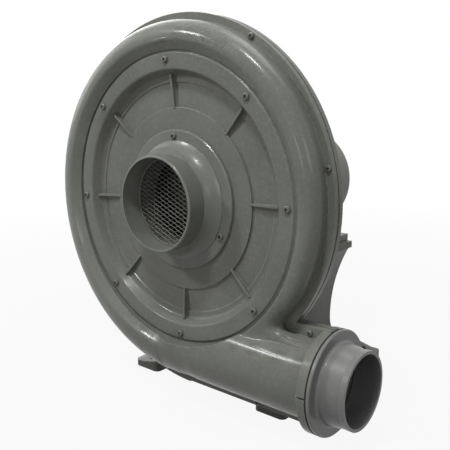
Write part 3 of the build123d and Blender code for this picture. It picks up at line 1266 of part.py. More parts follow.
with BuildPart() as terminal_block:
    with BuildSketch(level(PAD_HEIGHT + BOX_WALL)):
        with Locations((0, BOX_MIDDLE_DEPTH + BLOCK_OFFSET)):
            Rectangle(BLOCK_WIDTH, BLOCK_LENGTH)
    extrude(amount=BLOCK_HEIGHT)
    with BuildSketch(level(PAD_HEIGHT + BOX_WALL + BLOCK_HEIGHT)):
        with Locations((0, BOX_MIDDLE_DEPTH + BLOCK_OFFSET)):
            with GridLocations(STUD_SPACING_X, STUD_SPACING_Y, 3, 2):
                Circle(STUD_RADIUS)
    extrude(amount=STUD_HEIGHT)
terminal_block.part.label = "terminal_block"
export_step(terminal_block.part, "parts/terminal_block.step")

with BuildPart() as cable_gland:
    with BuildSketch(gland_side):
        RegularPolygon(GLAND_HEX, 6)
    extrude(amount=GLAND_HEX_LENGTH)
    with BuildSketch(gland_side.offset(GLAND_HEX_LENGTH)):
        Circle(GLAND_DOME_RADIUS)
    extrude(amount=GLAND_DOME_LENGTH)
    fillet(cable_gland.edges().group_by(Axis.X)[0], GLAND_DOME_ROUND)
    with BuildSketch(gland_side.offset(-BOX_WALL - GLAND_NUT_LENGTH)):
        RegularPolygon(GLAND_HEX, 6)
    extrude(amount=GLAND_NUT_LENGTH)
    with BuildSketch(gland_side.offset(-BOX_WALL)):
        Circle(GLAND_RADIUS)
    extrude(amount=BOX_WALL)
    with BuildSketch(gland_side.offset(-BOX_WALL - GLAND_NUT_LENGTH)):
        Circle(GLAND_BORE)
    gland_length = GLAND_NUT_LENGTH + BOX_WALL + GLAND_HEX_LENGTH + GLAND_DOME_LENGTH
    extrude(amount=gland_length, mode=Mode.SUBTRACT)
cable_gland.part.label = "cable_gland"
export_step(cable_gland.part, "parts/cable_gland.step")

# Pedestal: two waisted side walls that flare into foot rails, a top plate and an arched front web.
with BuildPart() as pedestal:
    upper_centre = (WAIST_HALF_WIDTH + WAIST_CURVE, WAIST_Z)
    flare_centre = (FLARE_CENTRE_X, WAIST_Z)
    inner_upper = WAIST_CURVE + SIDE_WALL
    inner_flare = FLARE_CURVE + SIDE_WALL
    outer_turn = degrees(asin((PLATE_BOTTOM - WAIST_Z) / WAIST_CURVE))
    inner_turn = degrees(asin((PLATE_BOTTOM - WAIST_Z) / inner_upper))
    with BuildSketch(station(WALL_REAR)) as side_wall:
        with BuildLine():
            outer_top = CenterArc(upper_centre, WAIST_CURVE, 180 - outer_turn, outer_turn)
            outer_flare = CenterArc(flare_centre, FLARE_CURVE, 180, 90)
            inner_top = CenterArc(upper_centre, inner_upper, 180 - inner_turn, inner_turn)
            inner_flare_arc = CenterArc(flare_centre, inner_flare, 180, 90)
            Line(outer_top @ 0, inner_top @ 0)
            Line(outer_flare @ 1, inner_flare_arc @ 1)
        make_face()
        mirror(about=Plane.YZ)
    extrude(amount=WALL_REAR - WALL_FRONT)
    with BuildSketch(level(PLATE_TOP)):
        with Locations((0, (PLATE_FRONT + PLATE_REAR) / 2)):
            Rectangle(2 * PLATE_HALF_WIDTH, PLATE_REAR - PLATE_FRONT)
    extrude(amount=-PLATE_THICKNESS)
    with BuildSketch(station(WALL_FRONT + WEB_THICKNESS)) as web:
        with BuildLine():
            right_edge = CenterArc(upper_centre, inner_upper - SIDE_WALL / 2, 180 - outer_turn, outer_turn)
            left_edge = mirror(right_edge, about=Plane.YZ)
            Line(right_edge @ 0, left_edge @ 0)
            Line(right_edge @ 1, left_edge @ 1)
        make_face()
        with Locations((0, WAIST_Z)):
            Circle(ARCH_RADIUS, mode=Mode.SUBTRACT)
    extrude(amount=WEB_THICKNESS)
    with BuildSketch(station(RAIL_REAR)):
        with BuildLine():
            Polyline(
                (BASE_HALF_WIDTH - RAIL_WIDTH, -SHAFT_HEIGHT),
                (BASE_HALF_WIDTH, -SHAFT_HEIGHT),
                (BASE_HALF_WIDTH, RAIL_TOP),
                (FLARE_CENTRE_X, RAIL_TOP),
                (BASE_HALF_WIDTH - RAIL_WIDTH, RAIL_TOP + RAIL_RISE),
                close=True,
            )
        make_face()
        mirror(about=Plane.YZ)
    extrude(amount=RAIL_REAR - RAIL_FRONT)
    rail_corners = pedestal.edges().filter_by(Axis.Z).filter_by_position(Axis.Z, 0, RAIL_THICKNESS)
    fillet(rail_corners, RAIL_CORNER)
    with BuildSketch(Plane.XY):
        with GridLocations(FOOT_HOLE_SPAN_X, FOOT_HOLE_SPAN_Y, 2, 2):
            Circle(FOOT_HOLE_RADIUS)
    extrude(amount=RAIL_THICKNESS + RAIL_RISE, mode=Mode.SUBTRACT)
    with BuildSketch(level(PLATE_TOP)):
        with Locations(*foot_bolt_points()):
            Circle(FOOT_BOLT_RADIUS)
    extrude(amount=-PLATE_THICKNESS, mode=Mode.SUBTRACT)
pedestal.part.label = "pedestal"
export_step(pedestal.part, "parts/pedestal.step")
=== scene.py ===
"""Radial blower: finishes, studio and the finely modelled pieces over the solid frame."""
import logging
import math
from dataclasses import dataclass, field
from enum import Enum

import bmesh
import bpy
from mathutils import Matrix, Vector, noise
from mathutils.bvhtree import BVHTree


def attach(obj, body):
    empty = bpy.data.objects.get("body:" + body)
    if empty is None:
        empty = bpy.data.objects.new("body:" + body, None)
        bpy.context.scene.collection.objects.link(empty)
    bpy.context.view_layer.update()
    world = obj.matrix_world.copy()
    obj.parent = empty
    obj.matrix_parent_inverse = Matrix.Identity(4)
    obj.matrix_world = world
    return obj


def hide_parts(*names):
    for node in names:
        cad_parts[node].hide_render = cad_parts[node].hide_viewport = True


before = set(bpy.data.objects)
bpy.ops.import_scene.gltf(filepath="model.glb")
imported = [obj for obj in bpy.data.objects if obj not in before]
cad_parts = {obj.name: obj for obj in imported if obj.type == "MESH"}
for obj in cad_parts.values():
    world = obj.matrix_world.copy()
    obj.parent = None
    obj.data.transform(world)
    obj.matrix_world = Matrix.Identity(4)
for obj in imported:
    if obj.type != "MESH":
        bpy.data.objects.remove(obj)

Span = tuple[float, float]
Triple = tuple[float, float, float]
Spot = tuple[float, float, float, float]
Socket = bpy.types.NodeSocket
Shape = bmesh.types.BMesh

LOG = logging.getLogger("blower")
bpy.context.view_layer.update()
MM = 0.001
SHAFT_HEIGHT = 286.0
COVER_SETBACK = 190.0
WELD_DISTANCE = 2e-6
WHITE = (1.0, 1.0, 1.0, 1.0)


class Facing(Enum):
    """Direction in which a screw head looks."""

    FRONT = (0.0, -1.0, 0.0)
    LEFT = (-1.0, 0.0, 0.0)


# Finishes


@dataclass(frozen=True)
class Pattern:
    """Noise pattern: scale per metre, octaves, share of the fine ones, and its useful span."""

    scale: float
    detail: float
    rough: float
    span: Span = (0.3, 0.7)


# Pattern, strength for a grain of one, and depth in millimetres
Layer = tuple[Pattern, float, float]


def toned(colour: Triple, gain: float, lift: float = 0.0) -> Triple:
    """Scale a colour and lift it towards white."""
    return tuple(value * gain + lift for value in colour)


class Wiring:
    """Adds and joins the nodes of one shader tree."""

    def __init__(self, tree: bpy.types.NodeTree) -> None:
        """Take the tree to work in."""
        self.tree = tree

    def add(self, kind: str, **values: object) -> bpy.types.Node:
        """Add a node and set its properties or input sockets.

        Args:
            kind: Node type.
            **values: Property values, or socket values whose names start with a capital.

        Returns:
            The new node.
        """
        node = self.tree.nodes.new(kind)
        for key, value in values.items():
            if key in node.inputs:
                node.inputs[key].default_value = value
            else:
                setattr(node, key, value)
        return node

    def join(self, output: Socket, target: Socket) -> None:
        """Join an output to an input."""
        self.tree.links.new(output, target)

    def ramp(self, source: Socket, span: Span, result: Span) -> Socket:
        """Map a value from one range to another.

        Args:
            source: Value to map.
            span: Lower and upper end of the source range.
            result: Results at those ends.

        Returns:
            The mapped value socket.
        """
        node = self.add("ShaderNodeMapRange")
        for index, value in enumerate((*span, *result), start=1):
            node.inputs[index].default_value = value
        self.join(source, node.inputs[0])
        return node.outputs[0]

    def maths(self, operation: str, first: Socket, second: Socket) -> Socket:
        """Combine two values.

        Args:
            operation: Name of the operation.
            first: First value socket.
            second: Second value socket.

        Returns:
            The result socket.
        """
        node = self.add("ShaderNodeMath", operation=operation)
        self.join(first, node.inputs[0])
        self.join(second, node.inputs[1])
        return node.outputs[0]

    def close(self, kind: str, share: Socket, first: Socket, second: Socket) -> None:
        """Mix two shaders into the tree's output.

        Args:
            kind: Type of the output node.
            share: Share of the second shader.
            first: First shader.
            second: Second shader.
        """
        mix = self.add("ShaderNodeMixShader")
        for output, target in zip((share, first, second), mix.inputs):
            self.join(output, target)
        self.join(mix.outputs[0], self.add(kind).inputs["Surface"])


class NodeBoard(Wiring):
    """The shader of one material, with its patterns, masks and bumps."""

    EDGE_SPAN = (0.995, 0.93)
    EDGE_SAMPLES = 6
    SPOT_FADE = 1.5
    RAGGED = Pattern(75.0, 5.0, 0.65, (0.7, 1.3))

    def __init__(self, name: str) -> None:
        """Start a named material with a principled shader."""
        self.material = bpy.data.materials.new(name)
        self.material.use_nodes = True
        super().__init__(self.material.node_tree)
        self.shader = self.tree.nodes["Principled BSDF"]
        self.place = self.add("ShaderNodeTexCoord").outputs["Object"]

    def noise(self, pattern: Pattern) -> Socket:
        """Add a noise pattern in object space.

        Args:
            pattern: The pattern.

        Returns:
            The pattern's value socket.
        """
        node = self.add(
            "ShaderNodeTexNoise",
            Scale=pattern.scale,
            Detail=pattern.detail,
            Roughness=pattern.rough,
        )
        self.join(self.place, node.inputs["Vector"])
        return node.outputs["Fac"]

    def spread(self, pattern: Pattern, result: Span) -> Socket:
        """Map a noise pattern's own span to another range."""
        return self.ramp(self.noise(pattern), pattern.span, result)

    def blend(self, factor: Socket, first: Triple | Socket, second: Triple | Socket) -> Socket:
        """Mix two colours, each given as a tuple or a socket.

        Args:
            factor: Share of the second colour.
            first: First colour.
            second: Second colour.

        Returns:
            The mixed colour socket.
        """
        node = self.add("ShaderNodeMix", data_type="RGBA")
        self.join(factor, node.inputs[0])
        for index, colour in ((6, first), (7, second)):
            if isinstance(colour, tuple):
                node.inputs[index].default_value = (*colour, 1.0)
            else:
                self.join(colour, node.inputs[index])
        return node.outputs[2]

    def near(self, spots: tuple[Spot, ...]) -> Socket:
        """Build a ragged mask that is one at some spots and fades to nothing around them.

        Args:
            spots: Place and reach of each spot in millimetres.

        Returns:
            The mask socket.
        """
        mask = None
        for x, y, z, reach in spots:
            node = self.add("ShaderNodeVectorMath", operation="DISTANCE")
            self.join(self.place, node.inputs[0])
            node.inputs[1].default_value = (x * MM, y * MM, z * MM)
            one = self.ramp(node.outputs["Value"], (0.0, self.SPOT_FADE * reach * MM), (1.0, 0.0))
            mask = one if mask is None else self.maths("MAXIMUM", mask, one)
        ragged = self.maths("ADD", mask, self.noise(self.RAGGED))
        return self.ramp(ragged, self.RAGGED.span, (0.0, 1.0))

    def soft_edge(self, radius: float) -> tuple[Socket, Socket]:
        """Round the edges in shading, and tell where the edges are.

        Args:
            radius: Radius of the rounding in millimetres.

        Returns:
            Rounded normal socket, and a socket that is one on edges.
        """
        bevel = self.add("ShaderNodeBevel", samples=self.EDGE_SAMPLES, Radius=radius * MM)
        surface = self.add("ShaderNodeNewGeometry")
        dot = self.add("ShaderNodeVectorMath", operation="DOT_PRODUCT")
        self.join(bevel.outputs["Normal"], dot.inputs[0])
        self.join(surface.outputs["Normal"], dot.inputs[1])
        return bevel.outputs["Normal"], self.ramp(dot.outputs["Value"], self.EDGE_SPAN, (0.0, 1.0))

    def polish(self, specular: float, coat: float, coat_roughness: float) -> None:
        """Set the specular level, and the weight and roughness of the clear coat."""
        self.shader.inputs["Specular IOR Level"].default_value = specular
        self.shader.inputs["Coat Weight"].default_value = coat
        self.shader.inputs["Coat Roughness"].default_value = coat_roughness

    def roughen(self, pattern: Pattern, middle: float, less: float, more: float) -> None:
        """Let the roughness follow a pattern, from less to more than its middle."""
        rough = self.spread(pattern, (middle - less, middle + more))
        self.join(rough, self.shader.inputs["Roughness"])

    def bump(self, layers: list[tuple[Socket, float, float]], normal: Socket | None = None) -> None:
        """Stack bump layers into the shader's normal.

        Args:
            layers: Height socket, strength and distance in millimetres of each layer.
            normal: Normal that the first layer starts from.
        """
        last = normal
        for height, strength, distance in layers:
            node = self.add("ShaderNodeBump", Strength=strength, Distance=distance * MM)
            self.join(height, node.inputs["Height"])
            if last is not None:
                self.join(last, node.inputs["Normal"])
            last = node.outputs["Normal"]
        self.join(last, self.shader.inputs["Normal"])


@dataclass(frozen=True)
class CastPaint:
    """Semi-gloss paint over a sand-cast surface, rubbed pale along its edges."""

    name: str = "casting_paint"
    colour: Triple = (0.137, 0.143, 0.124)
    roughness: float = 0.34
    grain: float = 0.4
    edge: float = 1.1
    scars: tuple[Spot, ...] = ()
    dark_gain: float = 0.80
    pale: Span = (1.22, 0.004)
    rubbed: Span = (1.75, 0.02)
    clouds: Pattern = Pattern(8.0, 5.0, 0.55, (0.36, 0.64))
    speckle: Pattern = Pattern(230.0, 5.0, 0.7, (0.5, 0.75))
    speckle_share: float = 0.75
    pore_span: Span = (0.42, 0.28)
    pore_share: float = 0.55
    rubbing: Pattern = Pattern(95.0, 5.0, 0.65, (0.40, 0.62))
    wear: Span = (0.15, 0.75)
    smear: Pattern = Pattern(24.0, 6.0, 0.65)
    smear_reach: Span = (0.07, 0.12)
    gloss: Triple = (0.1, 0.22, 0.15)
    relief: tuple[Layer, ...] = (
        (Pattern(420.0, 5.0, 0.62), 0.55, 0.45),
        (Pattern(62.0, 3.0, 0.5), 0.55, 1.5),
    )
    pitting: Pattern = Pattern(310.0, 4.0, 0.7, (0.0, 1.0))
    pit_strength: float = 1.3
    pit_depth: float = 1.8

    def make(self) -> bpy.types.Material:
        """Build the material.

        Returns:
            The finished material.
        """
        board = NodeBoard(self.name)
        normal, edges = board.soft_edge(self.edge)
        dark = toned(self.colour, self.dark_gain)
        body = board.blend(board.spread(self.clouds, (0.0, 1.0)), dark, self.colour)
        speckle = board.noise(self.speckle)
        flecks = board.ramp(speckle, self.speckle.span, (0.0, self.speckle_share))
        body = board.blend(flecks, body, toned(self.colour, *self.pale))
        if self.pore_share:
            pores = board.ramp(speckle, self.pore_span, (0.0, self.pore_share))
            body = board.blend(pores, body, dark)
        worn = board.maths("MULTIPLY", edges, board.spread(self.rubbing, self.wear))
        body = board.blend(worn, body, toned(self.colour, *self.rubbed))
        board.join(body, board.shader.inputs["Base Color"])
        board.roughen(self.smear, self.roughness, *self.smear_reach)
        board.polish(*self.gloss)
        layers = [(board.noise(p), self.grain * share, depth) for p, share, depth in self.relief]
        if self.scars:
            rise = board.spread(self.pitting, (-0.5, 0.5))
            pits = board.maths("MULTIPLY", rise, board.near(self.scars))
            layers.append((pits, self.pit_strength, self.pit_depth))
        board.bump(layers, normal)
        return board.material


@dataclass(frozen=True)
class SheetPaint(CastPaint):
    """The same paint on turned or drawn metal: smoother, with a fine orange peel."""

    colour: Triple = (0.139, 0.144, 0.128)
    roughness: float = 0.32
    grain: float = 1.0
    edge: float = 0.7
    dark_gain: float = 0.86
    pale: Span = (1.2, 0.006)
    rubbed: Span = (1.8, 0.02)
    clouds: Pattern = Pattern(13.0, 4.0, 0.5, (0.35, 0.65))
    speckle: Pattern = Pattern(160.0, 6.0, 0.7, (0.54, 0.78))
    speckle_share: float = 0.6
    pore_share: float = 0.0
    rubbing: Pattern = Pattern(120.0, 5.0, 0.6, (0.42, 0.6))
    wear: Span = (0.25, 0.8)
    smear: Pattern = Pattern(40.0, 5.0, 0.6)
    smear_reach: Span = (0.06, 0.1)
    gloss: Triple = (0.22, 0.12, 0.12)
    relief: tuple[Layer, ...] = (
        (Pattern(650.0, 3.0, 0.55), 0.14, 0.25),
        (Pattern(90.0, 3.0, 0.5), 0.12, 0.8),
    )


@dataclass(frozen=True)
class BareMetal:
    """Unpainted metal with turning or handling marks."""

    name: str
    colour: Triple
    roughness: float
    marks: float
    stain: Triple = (0.25, 0.22, 0.18)
    tarnish: Pattern = Pattern(150.0, 5.0, 0.6, (0.5, 0.78))
    tarnish_share: float = 0.7
    handling: Pattern = Pattern(240.0, 4.0, 0.6)
    handling_reach: Span = (0.08, 0.12)
    tooling: Pattern = Pattern(1500.0, 2.0, 0.5)
    tooling_depth: float = 0.1

    def make(self) -> bpy.types.Material:
        """Build the material.

        Returns:
            The finished material.
        """
        board = NodeBoard(self.name)
        board.shader.inputs["Metallic"].default_value = 1.0
        tarnish = board.spread(self.tarnish, (0.0, self.tarnish_share))
        board.join(board.blend(tarnish, self.colour, self.stain), board.shader.inputs["Base Color"])
        board.roughen(self.handling, self.roughness, *self.handling_reach)
        board.bump([(board.noise(self.tooling), self.marks, self.tooling_depth)])
        return board.material


@dataclass(frozen=True)
class DullSolid:
    """Rubber, gasket board, moulded plastic or varnish."""

    name: str
    colour: Triple
    roughness: float
    grain: float = 0.2
    pale: Span = (1.5, 0.006)
    bloom: Pattern = Pattern(120.0, 5.0, 0.6, (0.45, 0.75))
    bloom_share: float = 0.6
    smear: Pattern = Pattern(70.0, 3.0, 0.5)
    smear_reach: Span = (0.08, 0.08)
    skin: Pattern = Pattern(900.0, 3.0, 0.5)
    skin_depth: float = 0.2

    def make(self) -> bpy.types.Material:
        """Build the material.

        Returns:
            The finished material.
        """
        board = NodeBoard(self.name)
        bloom = board.spread(self.bloom, (0.0, self.bloom_share))
        body = board.blend(bloom, self.colour, toned(self.colour, *self.pale))
        board.join(body, board.shader.inputs["Base Color"])
        board.roughen(self.smear, self.roughness, *self.smear_reach)
        board.bump([(board.noise(self.skin), self.grain, self.skin_depth)])
        return board.material


class Palette:
    """Every finish of the blower, made once."""

    ROUGH_SPOTS = (
        (20.0, -195.0, 498.0, 16.0),
        (40.0, -194.0, 496.0, 16.0),
        (64.0, -194.0, 490.0, 16.0),
        (88.0, -193.0, 481.0, 15.0),
        (-87.0, -191.0, 115.0, 12.0),
        (-72.0, -193.0, 108.0, 13.0),
        (-56.0, -195.0, 103.0, 12.0),
        (78.0, -203.0, 106.0, 13.0),
        (108.0, -199.0, 113.0, 14.0),
        (137.0, -197.0, 117.0, 14.0),
        (172.0, -195.0, 119.0, 14.0),
        (204.0, -194.0, 120.0, 12.0),
    )
    COVER_COLOUR = (0.132, 0.137, 0.120)
    NOZZLE_COLOUR = (0.140, 0.146, 0.130)
    # Pedestal paint: the casting paint made darker as painted shade, for the pedestal under the
    # casing; the joint bead takes it too.
    STAND_SHADED_COLOUR = (0.094, 0.098, 0.085)
    # Outlet nozzle paint: partly its own bluish grey, partly painted light, lightened so that the
    # nozzle's right-facing side and its bore show brighter.
    OUTLET_LIGHTENED_COLOUR = (0.160, 0.163, 0.158)
    SCREW_COLOUR = (0.120, 0.124, 0.112)
    # Impeller alloy: made near black as painted shade for the dim inside of the casing; its
    # blotches are darkened the same way.
    ALLOY_SHADED_COLOUR = (0.05, 0.05, 0.047)
    ALLOY_SHADED_STAIN = (0.07, 0.065, 0.06)
    COPPER_COLOUR = (0.55, 0.26, 0.12)
    COPPER_VARNISH = (0.3, 0.12, 0.05)

    def __init__(self) -> None:
        """Make the materials."""
        self.casting = CastPaint(scars=self.ROUGH_SPOTS).make()
        self.cover = CastPaint("cover_paint", self.COVER_COLOUR, roughness=0.33, grain=0.26).make()
        self.nozzle = SheetPaint("nozzle_paint", self.NOZZLE_COLOUR).make()
        self.stand = CastPaint("stand_paint_shaded", self.STAND_SHADED_COLOUR).make()
        self.outlet = SheetPaint("outlet_paint_lightened", self.OUTLET_LIGHTENED_COLOUR).make()
        self.screw = SheetPaint("screw_paint", self.SCREW_COLOUR, edge=0.35).make()
        # Near black for the hollows of the cross recesses: painted shade.
        self.socket = DullSolid("socket_painted_shade", (0.012, 0.012, 0.011), 0.75, 0.3).make()
        self.motor = CastPaint("motor_paint", grain=0.25).make()
        self.cowl = SheetPaint("cowl_paint").make()
        self.zinc = BareMetal("zinc_plate", (0.42, 0.41, 0.37), 0.38, 0.15).make()
        self.steel = BareMetal("ground_steel", (0.56, 0.56, 0.57), 0.26, 0.08).make()
        self.alloy = BareMetal("alloy_darkened_for_shade", self.ALLOY_SHADED_COLOUR, 0.6, 0.2, self.ALLOY_SHADED_STAIN).make()
        self.wire = DullSolid("guard_wire", (0.115, 0.115, 0.105), 0.5, 0.3).make()
        self.gasket = DullSolid("gasket_board", (0.010, 0.010, 0.010), 0.85).make()
        self.rubber = DullSolid("black_rubber", (0.015, 0.014, 0.014), 0.65).make()
        self.plastic = DullSolid("moulded_plastic", (0.03, 0.031, 0.031), 0.5, 0.12).make()
        self.copper = BareMetal(
            "varnished_copper", self.COPPER_COLOUR, 0.4, 0.3, self.COPPER_VARNISH
        ).make()
        self.stack = BareMetal("laminated_steel", (0.22, 0.22, 0.23), 0.5, 0.3).make()


# Workshop helpers


def hang(name: str, data: bpy.types.ID) -> bpy.types.Object:
    """Put a mesh, lamp or camera into the scene as a named object."""
    thing = bpy.data.objects.new(name, data)
    bpy.context.scene.collection.objects.link(thing)
    return thing


def shade(thing: bpy.types.Object, crease: float) -> None:
    """Shade an object smooth, except over edges sharper than the crease angle in degrees."""
    thing.data.polygons.foreach_set("use_smooth", [True] * len(thing.data.polygons))
    split = thing.modifiers.new("crease", "EDGE_SPLIT")
    split.split_angle = math.radians(crease)


def close_up(part: Shape) -> None:
    """Fill the openings of a shape and turn its faces outwards."""
    bmesh.ops.holes_fill(part, edges=[edge for edge in part.edges if edge.is_boundary])
    bmesh.ops.recalc_face_normals(part, faces=part.faces)


@dataclass
class Workpiece:
    """A mesh under way. Its sizes are millimetres and become metres when it is finished."""

    name: str
    shape: Shape = field(default_factory=bmesh.new)
    crease: float = 32.0
    merge: float = 1e-4

    def turn_profile(self, profile: list[Span], steps: int) -> Shape:
        """Spin a profile of radius and height about the local axis.

        Args:
            profile: Radius and height of each point, from pole to pole or round a ring.
            steps: Number of steps of the full turn.

        Returns:
            The turned shape, closed, in its own mesh.
        """
        part = bmesh.new()
        verts = [part.verts.new((radius, 0.0, height)) for radius, height in profile]
        edges = [part.edges.new(pair) for pair in zip(verts, verts[1:])]
        bmesh.ops.spin(
            part,
            geom=verts + edges,
            cent=(0.0, 0.0, 0.0),
            axis=(0.0, 0.0, 1.0),
            angle=math.tau,
            steps=steps,
            use_merge=True,
        )
        bmesh.ops.remove_doubles(part, verts=part.verts, dist=self.merge)
        bmesh.ops.recalc_face_normals(part, faces=part.faces)
        return part

    def take(self, part: Shape, place: Matrix) -> None:
        """Put a finished shape into this workpiece at its place.

        Args:
            part: Shape in its own frame. It is used up.
            place: Its place in millimetres.
        """
        bmesh.ops.transform(part, matrix=place, verts=part.verts)
        carrier = bpy.data.meshes.new("carrier")
        part.to_mesh(carrier)
        part.free()
        self.shape.from_mesh(carrier)
        bpy.data.meshes.remove(carrier)

    def finish(
        self,
        finishes: list[bpy.types.Material],
        body: str,
        stands_for: tuple[str, ...] = (),
        slot: str = "",
    ) -> None:
        """Turn the workpiece into an object that rides on a body.

        Args:
            finishes: Its materials.
            body: Name of the body that carries it.
            stands_for: Solid nodes that it replaces.
            slot: Material slot of the record. Not used.
        """
        bmesh.ops.scale(self.shape, vec=(MM, MM, MM), verts=self.shape.verts)
        mesh = bpy.data.meshes.new(self.name)
        self.shape.to_mesh(mesh)
        self.shape.free()
        for finish in finishes:
            mesh.materials.append(finish)
        piece = hang(self.name, mesh)
        shade(piece, self.crease)
        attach(piece, body)
        if stands_for:
            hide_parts(*stands_for)
        LOG.info("built %s: %d faces", self.name, len(mesh.polygons))


def shaft_point(x: float, depth: float, height: float) -> Vector:
    """Point given across the shaft axis and behind the cover's front face."""
    return Vector((x, depth - COVER_SETBACK, SHAFT_HEIGHT + height))


def circle_point(radius: float, angle: float, depth: float) -> Vector:
    """Point on a circle about the shaft axis, its angle in degrees."""
    turn = math.radians(angle)
    return shaft_point(radius * math.cos(turn), depth, radius * math.sin(turn))


def ring_angles(first: float, count: int) -> list[float]:
    """Spread angles evenly round a circle, in degrees."""
    return [first + 360 / count * number for number in range(count)]


def heading(azimuth: float, elevation: float) -> Vector:
    """Direction by its angle from the front towards the right, and its angle upwards."""
    turn, lift = math.radians(azimuth), math.radians(elevation)
    level = math.cos(lift)
    return Vector((math.sin(turn) * level, -math.cos(turn) * level, math.sin(lift)))


def facing_turn(way: Vector) -> Matrix:
    """Turn that lays the local Z along a direction."""
    return way.to_track_quat("Z", "Y").to_matrix().to_4x4()


# Fasteners


@dataclass(frozen=True)
class PanScrew:
    """Pan-head screw with a cross recess. Its local Z runs out of the seat."""

    radius: float = 4.7
    height: float = 3.2
    shank_radius: float = 2.5
    shank_length: float = 10.0
    tip: float = 0.4
    dome: tuple[Span, ...] = ((0.66, 0.1), (0.84, 0.42), (0.95, 1.0), (1.0, 1.7))
    foot_height: float = 0.25
    foot_share: float = 0.95
    arm: float = 0.52
    arm_crown: float = 1.04
    web: float = 0.15
    depth: float = 1.7
    rim_drop: float = 0.02
    rim_share: float = 0.36
    floor_share: float = 0.31
    floor_scale: float = 0.82
    floor_dip: float = 0.25
    # Reach of the painted shade in the cross recess.
    shade_share: float = 0.56
    shade_top: float = 0.1
    shade_dip: float = 0.3
    steps: int = 24
    close: float = 1e-3

    def cross_corner(self, number: int, size: float) -> Span:
        """Point of the cross recess.

        Args:
            number: Number of the point about the axis.
            size: Scale of the recess.

        Returns:
            Its place across the head.
        """
        side = self.steps // 4
        quarter, step = divmod(number + side // 2, side)
        middle = (self.arm + self.web) / 2
        corner = (
            (self.web, -self.web),
            (middle, -self.web),
            (self.arm, -self.web),
            (self.arm * self.arm_crown, 0.0),
            (self.arm, self.web),
            (middle, self.web),
        )[step]
        turn = Matrix.Rotation(quarter * math.pi / 2, 2)
        spot = turn @ Vector(corner)
        return spot.x * size * self.radius, spot.y * size * self.radius

    def profile(self, floor: float, rim: float) -> list[Span]:
        """Lay out the head and shank.

        Args:
            floor: Height of the recess floor.
            rim: Height of the recess rim.

        Returns:
            Radius and height of each point.
        """
        r, h = self.radius, self.height
        return [
            (0.0, floor - self.floor_dip),
            (self.floor_share * r, floor),
            (self.rim_share * r, rim),
            *((share * r, h - drop) for share, drop in self.dome),
            (r, self.foot_height),
            (self.foot_share * r, 0.0),
            (self.shank_radius, 0.0),
            (self.shank_radius, self.tip - self.shank_length),
            (self.shank_radius - self.tip, -self.shank_length),
            (0.0, -self.shank_length),
        ]

    def press_cross(self, part: Shape, floor: float, rim: float) -> None:
        """Draw the two rings of the recess into crosses.

        Args:
            part: The turned screw.
            floor: Height of the recess floor.
            rim: Height of the recess rim.
        """
        rings = (
            (self.floor_share * self.radius, floor, self.floor_scale),
            (self.rim_share * self.radius, rim, 1.0),
        )
        for vert in part.verts:
            for radius, height, size in rings:
                level = abs(vert.co.z - height) < self.close
                if level and abs(vert.co.xy.length - radius) < self.close:
                    share = math.atan2(vert.co.y, vert.co.x) / math.tau
                    number = round(share * self.steps) % self.steps
                    vert.co.x, vert.co.y = self.cross_corner(number, size)
                    break

    def build(self, piece: Workpiece) -> Shape:
        """Turn the head and shank, press the cross and paint shade into its hollow.

        Args:
            piece: Workpiece that lends its turning.

        Returns:
            The screw in its own frame.
        """
        floor, rim = self.height - self.depth, self.height - self.rim_drop
        part = piece.turn_profile(self.profile(floor, rim), self.steps)
        self.press_cross(part, floor, rim)
        # Faces low in the cross recess take the near-black second material: painted shade.
        for face in part.faces:
            middle = face.calc_center_median()
            inside = middle.xy.length < self.shade_share * self.radius
            if inside and floor - self.shade_dip < middle.z < rim - self.shade_top:
                face.material_index = 1
        return part


@dataclass
class ScrewSet:
    """A set of equal screws that replaces the plain ones of a solid node."""

    node: str
    seats: list[Vector]
    screw: PanScrew
    palette: Palette
    facing: Facing = Facing.FRONT
    turns: tuple[float, ...] = (12.0, 57.0, 30.0, 74.0, 5.0, 41.0, 66.0, 23.0)
    nut_radius: float = 0.0
    nut_height: float = 3.2
    nut_drop: float = 0.0
    nut_chamfer: float = 0.35
    level: float = 1e-4

    def build_nut(self) -> Shape:
        """Make a hexagon nut with chamfered rims.

        Returns:
            The nut, which hangs below the seat's far side.
        """
        nut = bmesh.new()
        bmesh.ops.create_cone(
            nut,
            cap_ends=True,
            segments=6,
            radius1=self.nut_radius,
            radius2=self.nut_radius,
            depth=self.nut_height,
        )
        rims = [e for e in nut.edges if abs(e.verts[0].co.z - e.verts[1].co.z) < self.level]
        bmesh.ops.bevel(
            nut,
            geom=rims,
            offset=self.nut_chamfer,
            affect="EDGES",
            segments=2,
            profile=0.5,
            material=-1,
        )
        drop = -self.nut_drop - self.nut_height / 2
        bmesh.ops.translate(nut, vec=(0.0, 0.0, drop), verts=nut.verts)
        return nut

    def build(self) -> None:
        """Build every screw of the set and put the set in the frame."""
        piece = Workpiece(self.node + "_fine")
        out = facing_turn(Vector(self.facing.value))
        for number, seat in enumerate(self.seats):
            angle = math.radians(self.turns[number % len(self.turns)])
            place = Matrix.Translation(seat) @ out @ Matrix.Rotation(angle, 4, "Z")
            piece.take(self.screw.build(piece), place)
            if self.nut_radius:
                piece.take(self.build_nut(), place)
        # The second material paints shade into the cross recesses.
        piece.finish([self.palette.screw, self.palette.socket], "stand", (self.node,))


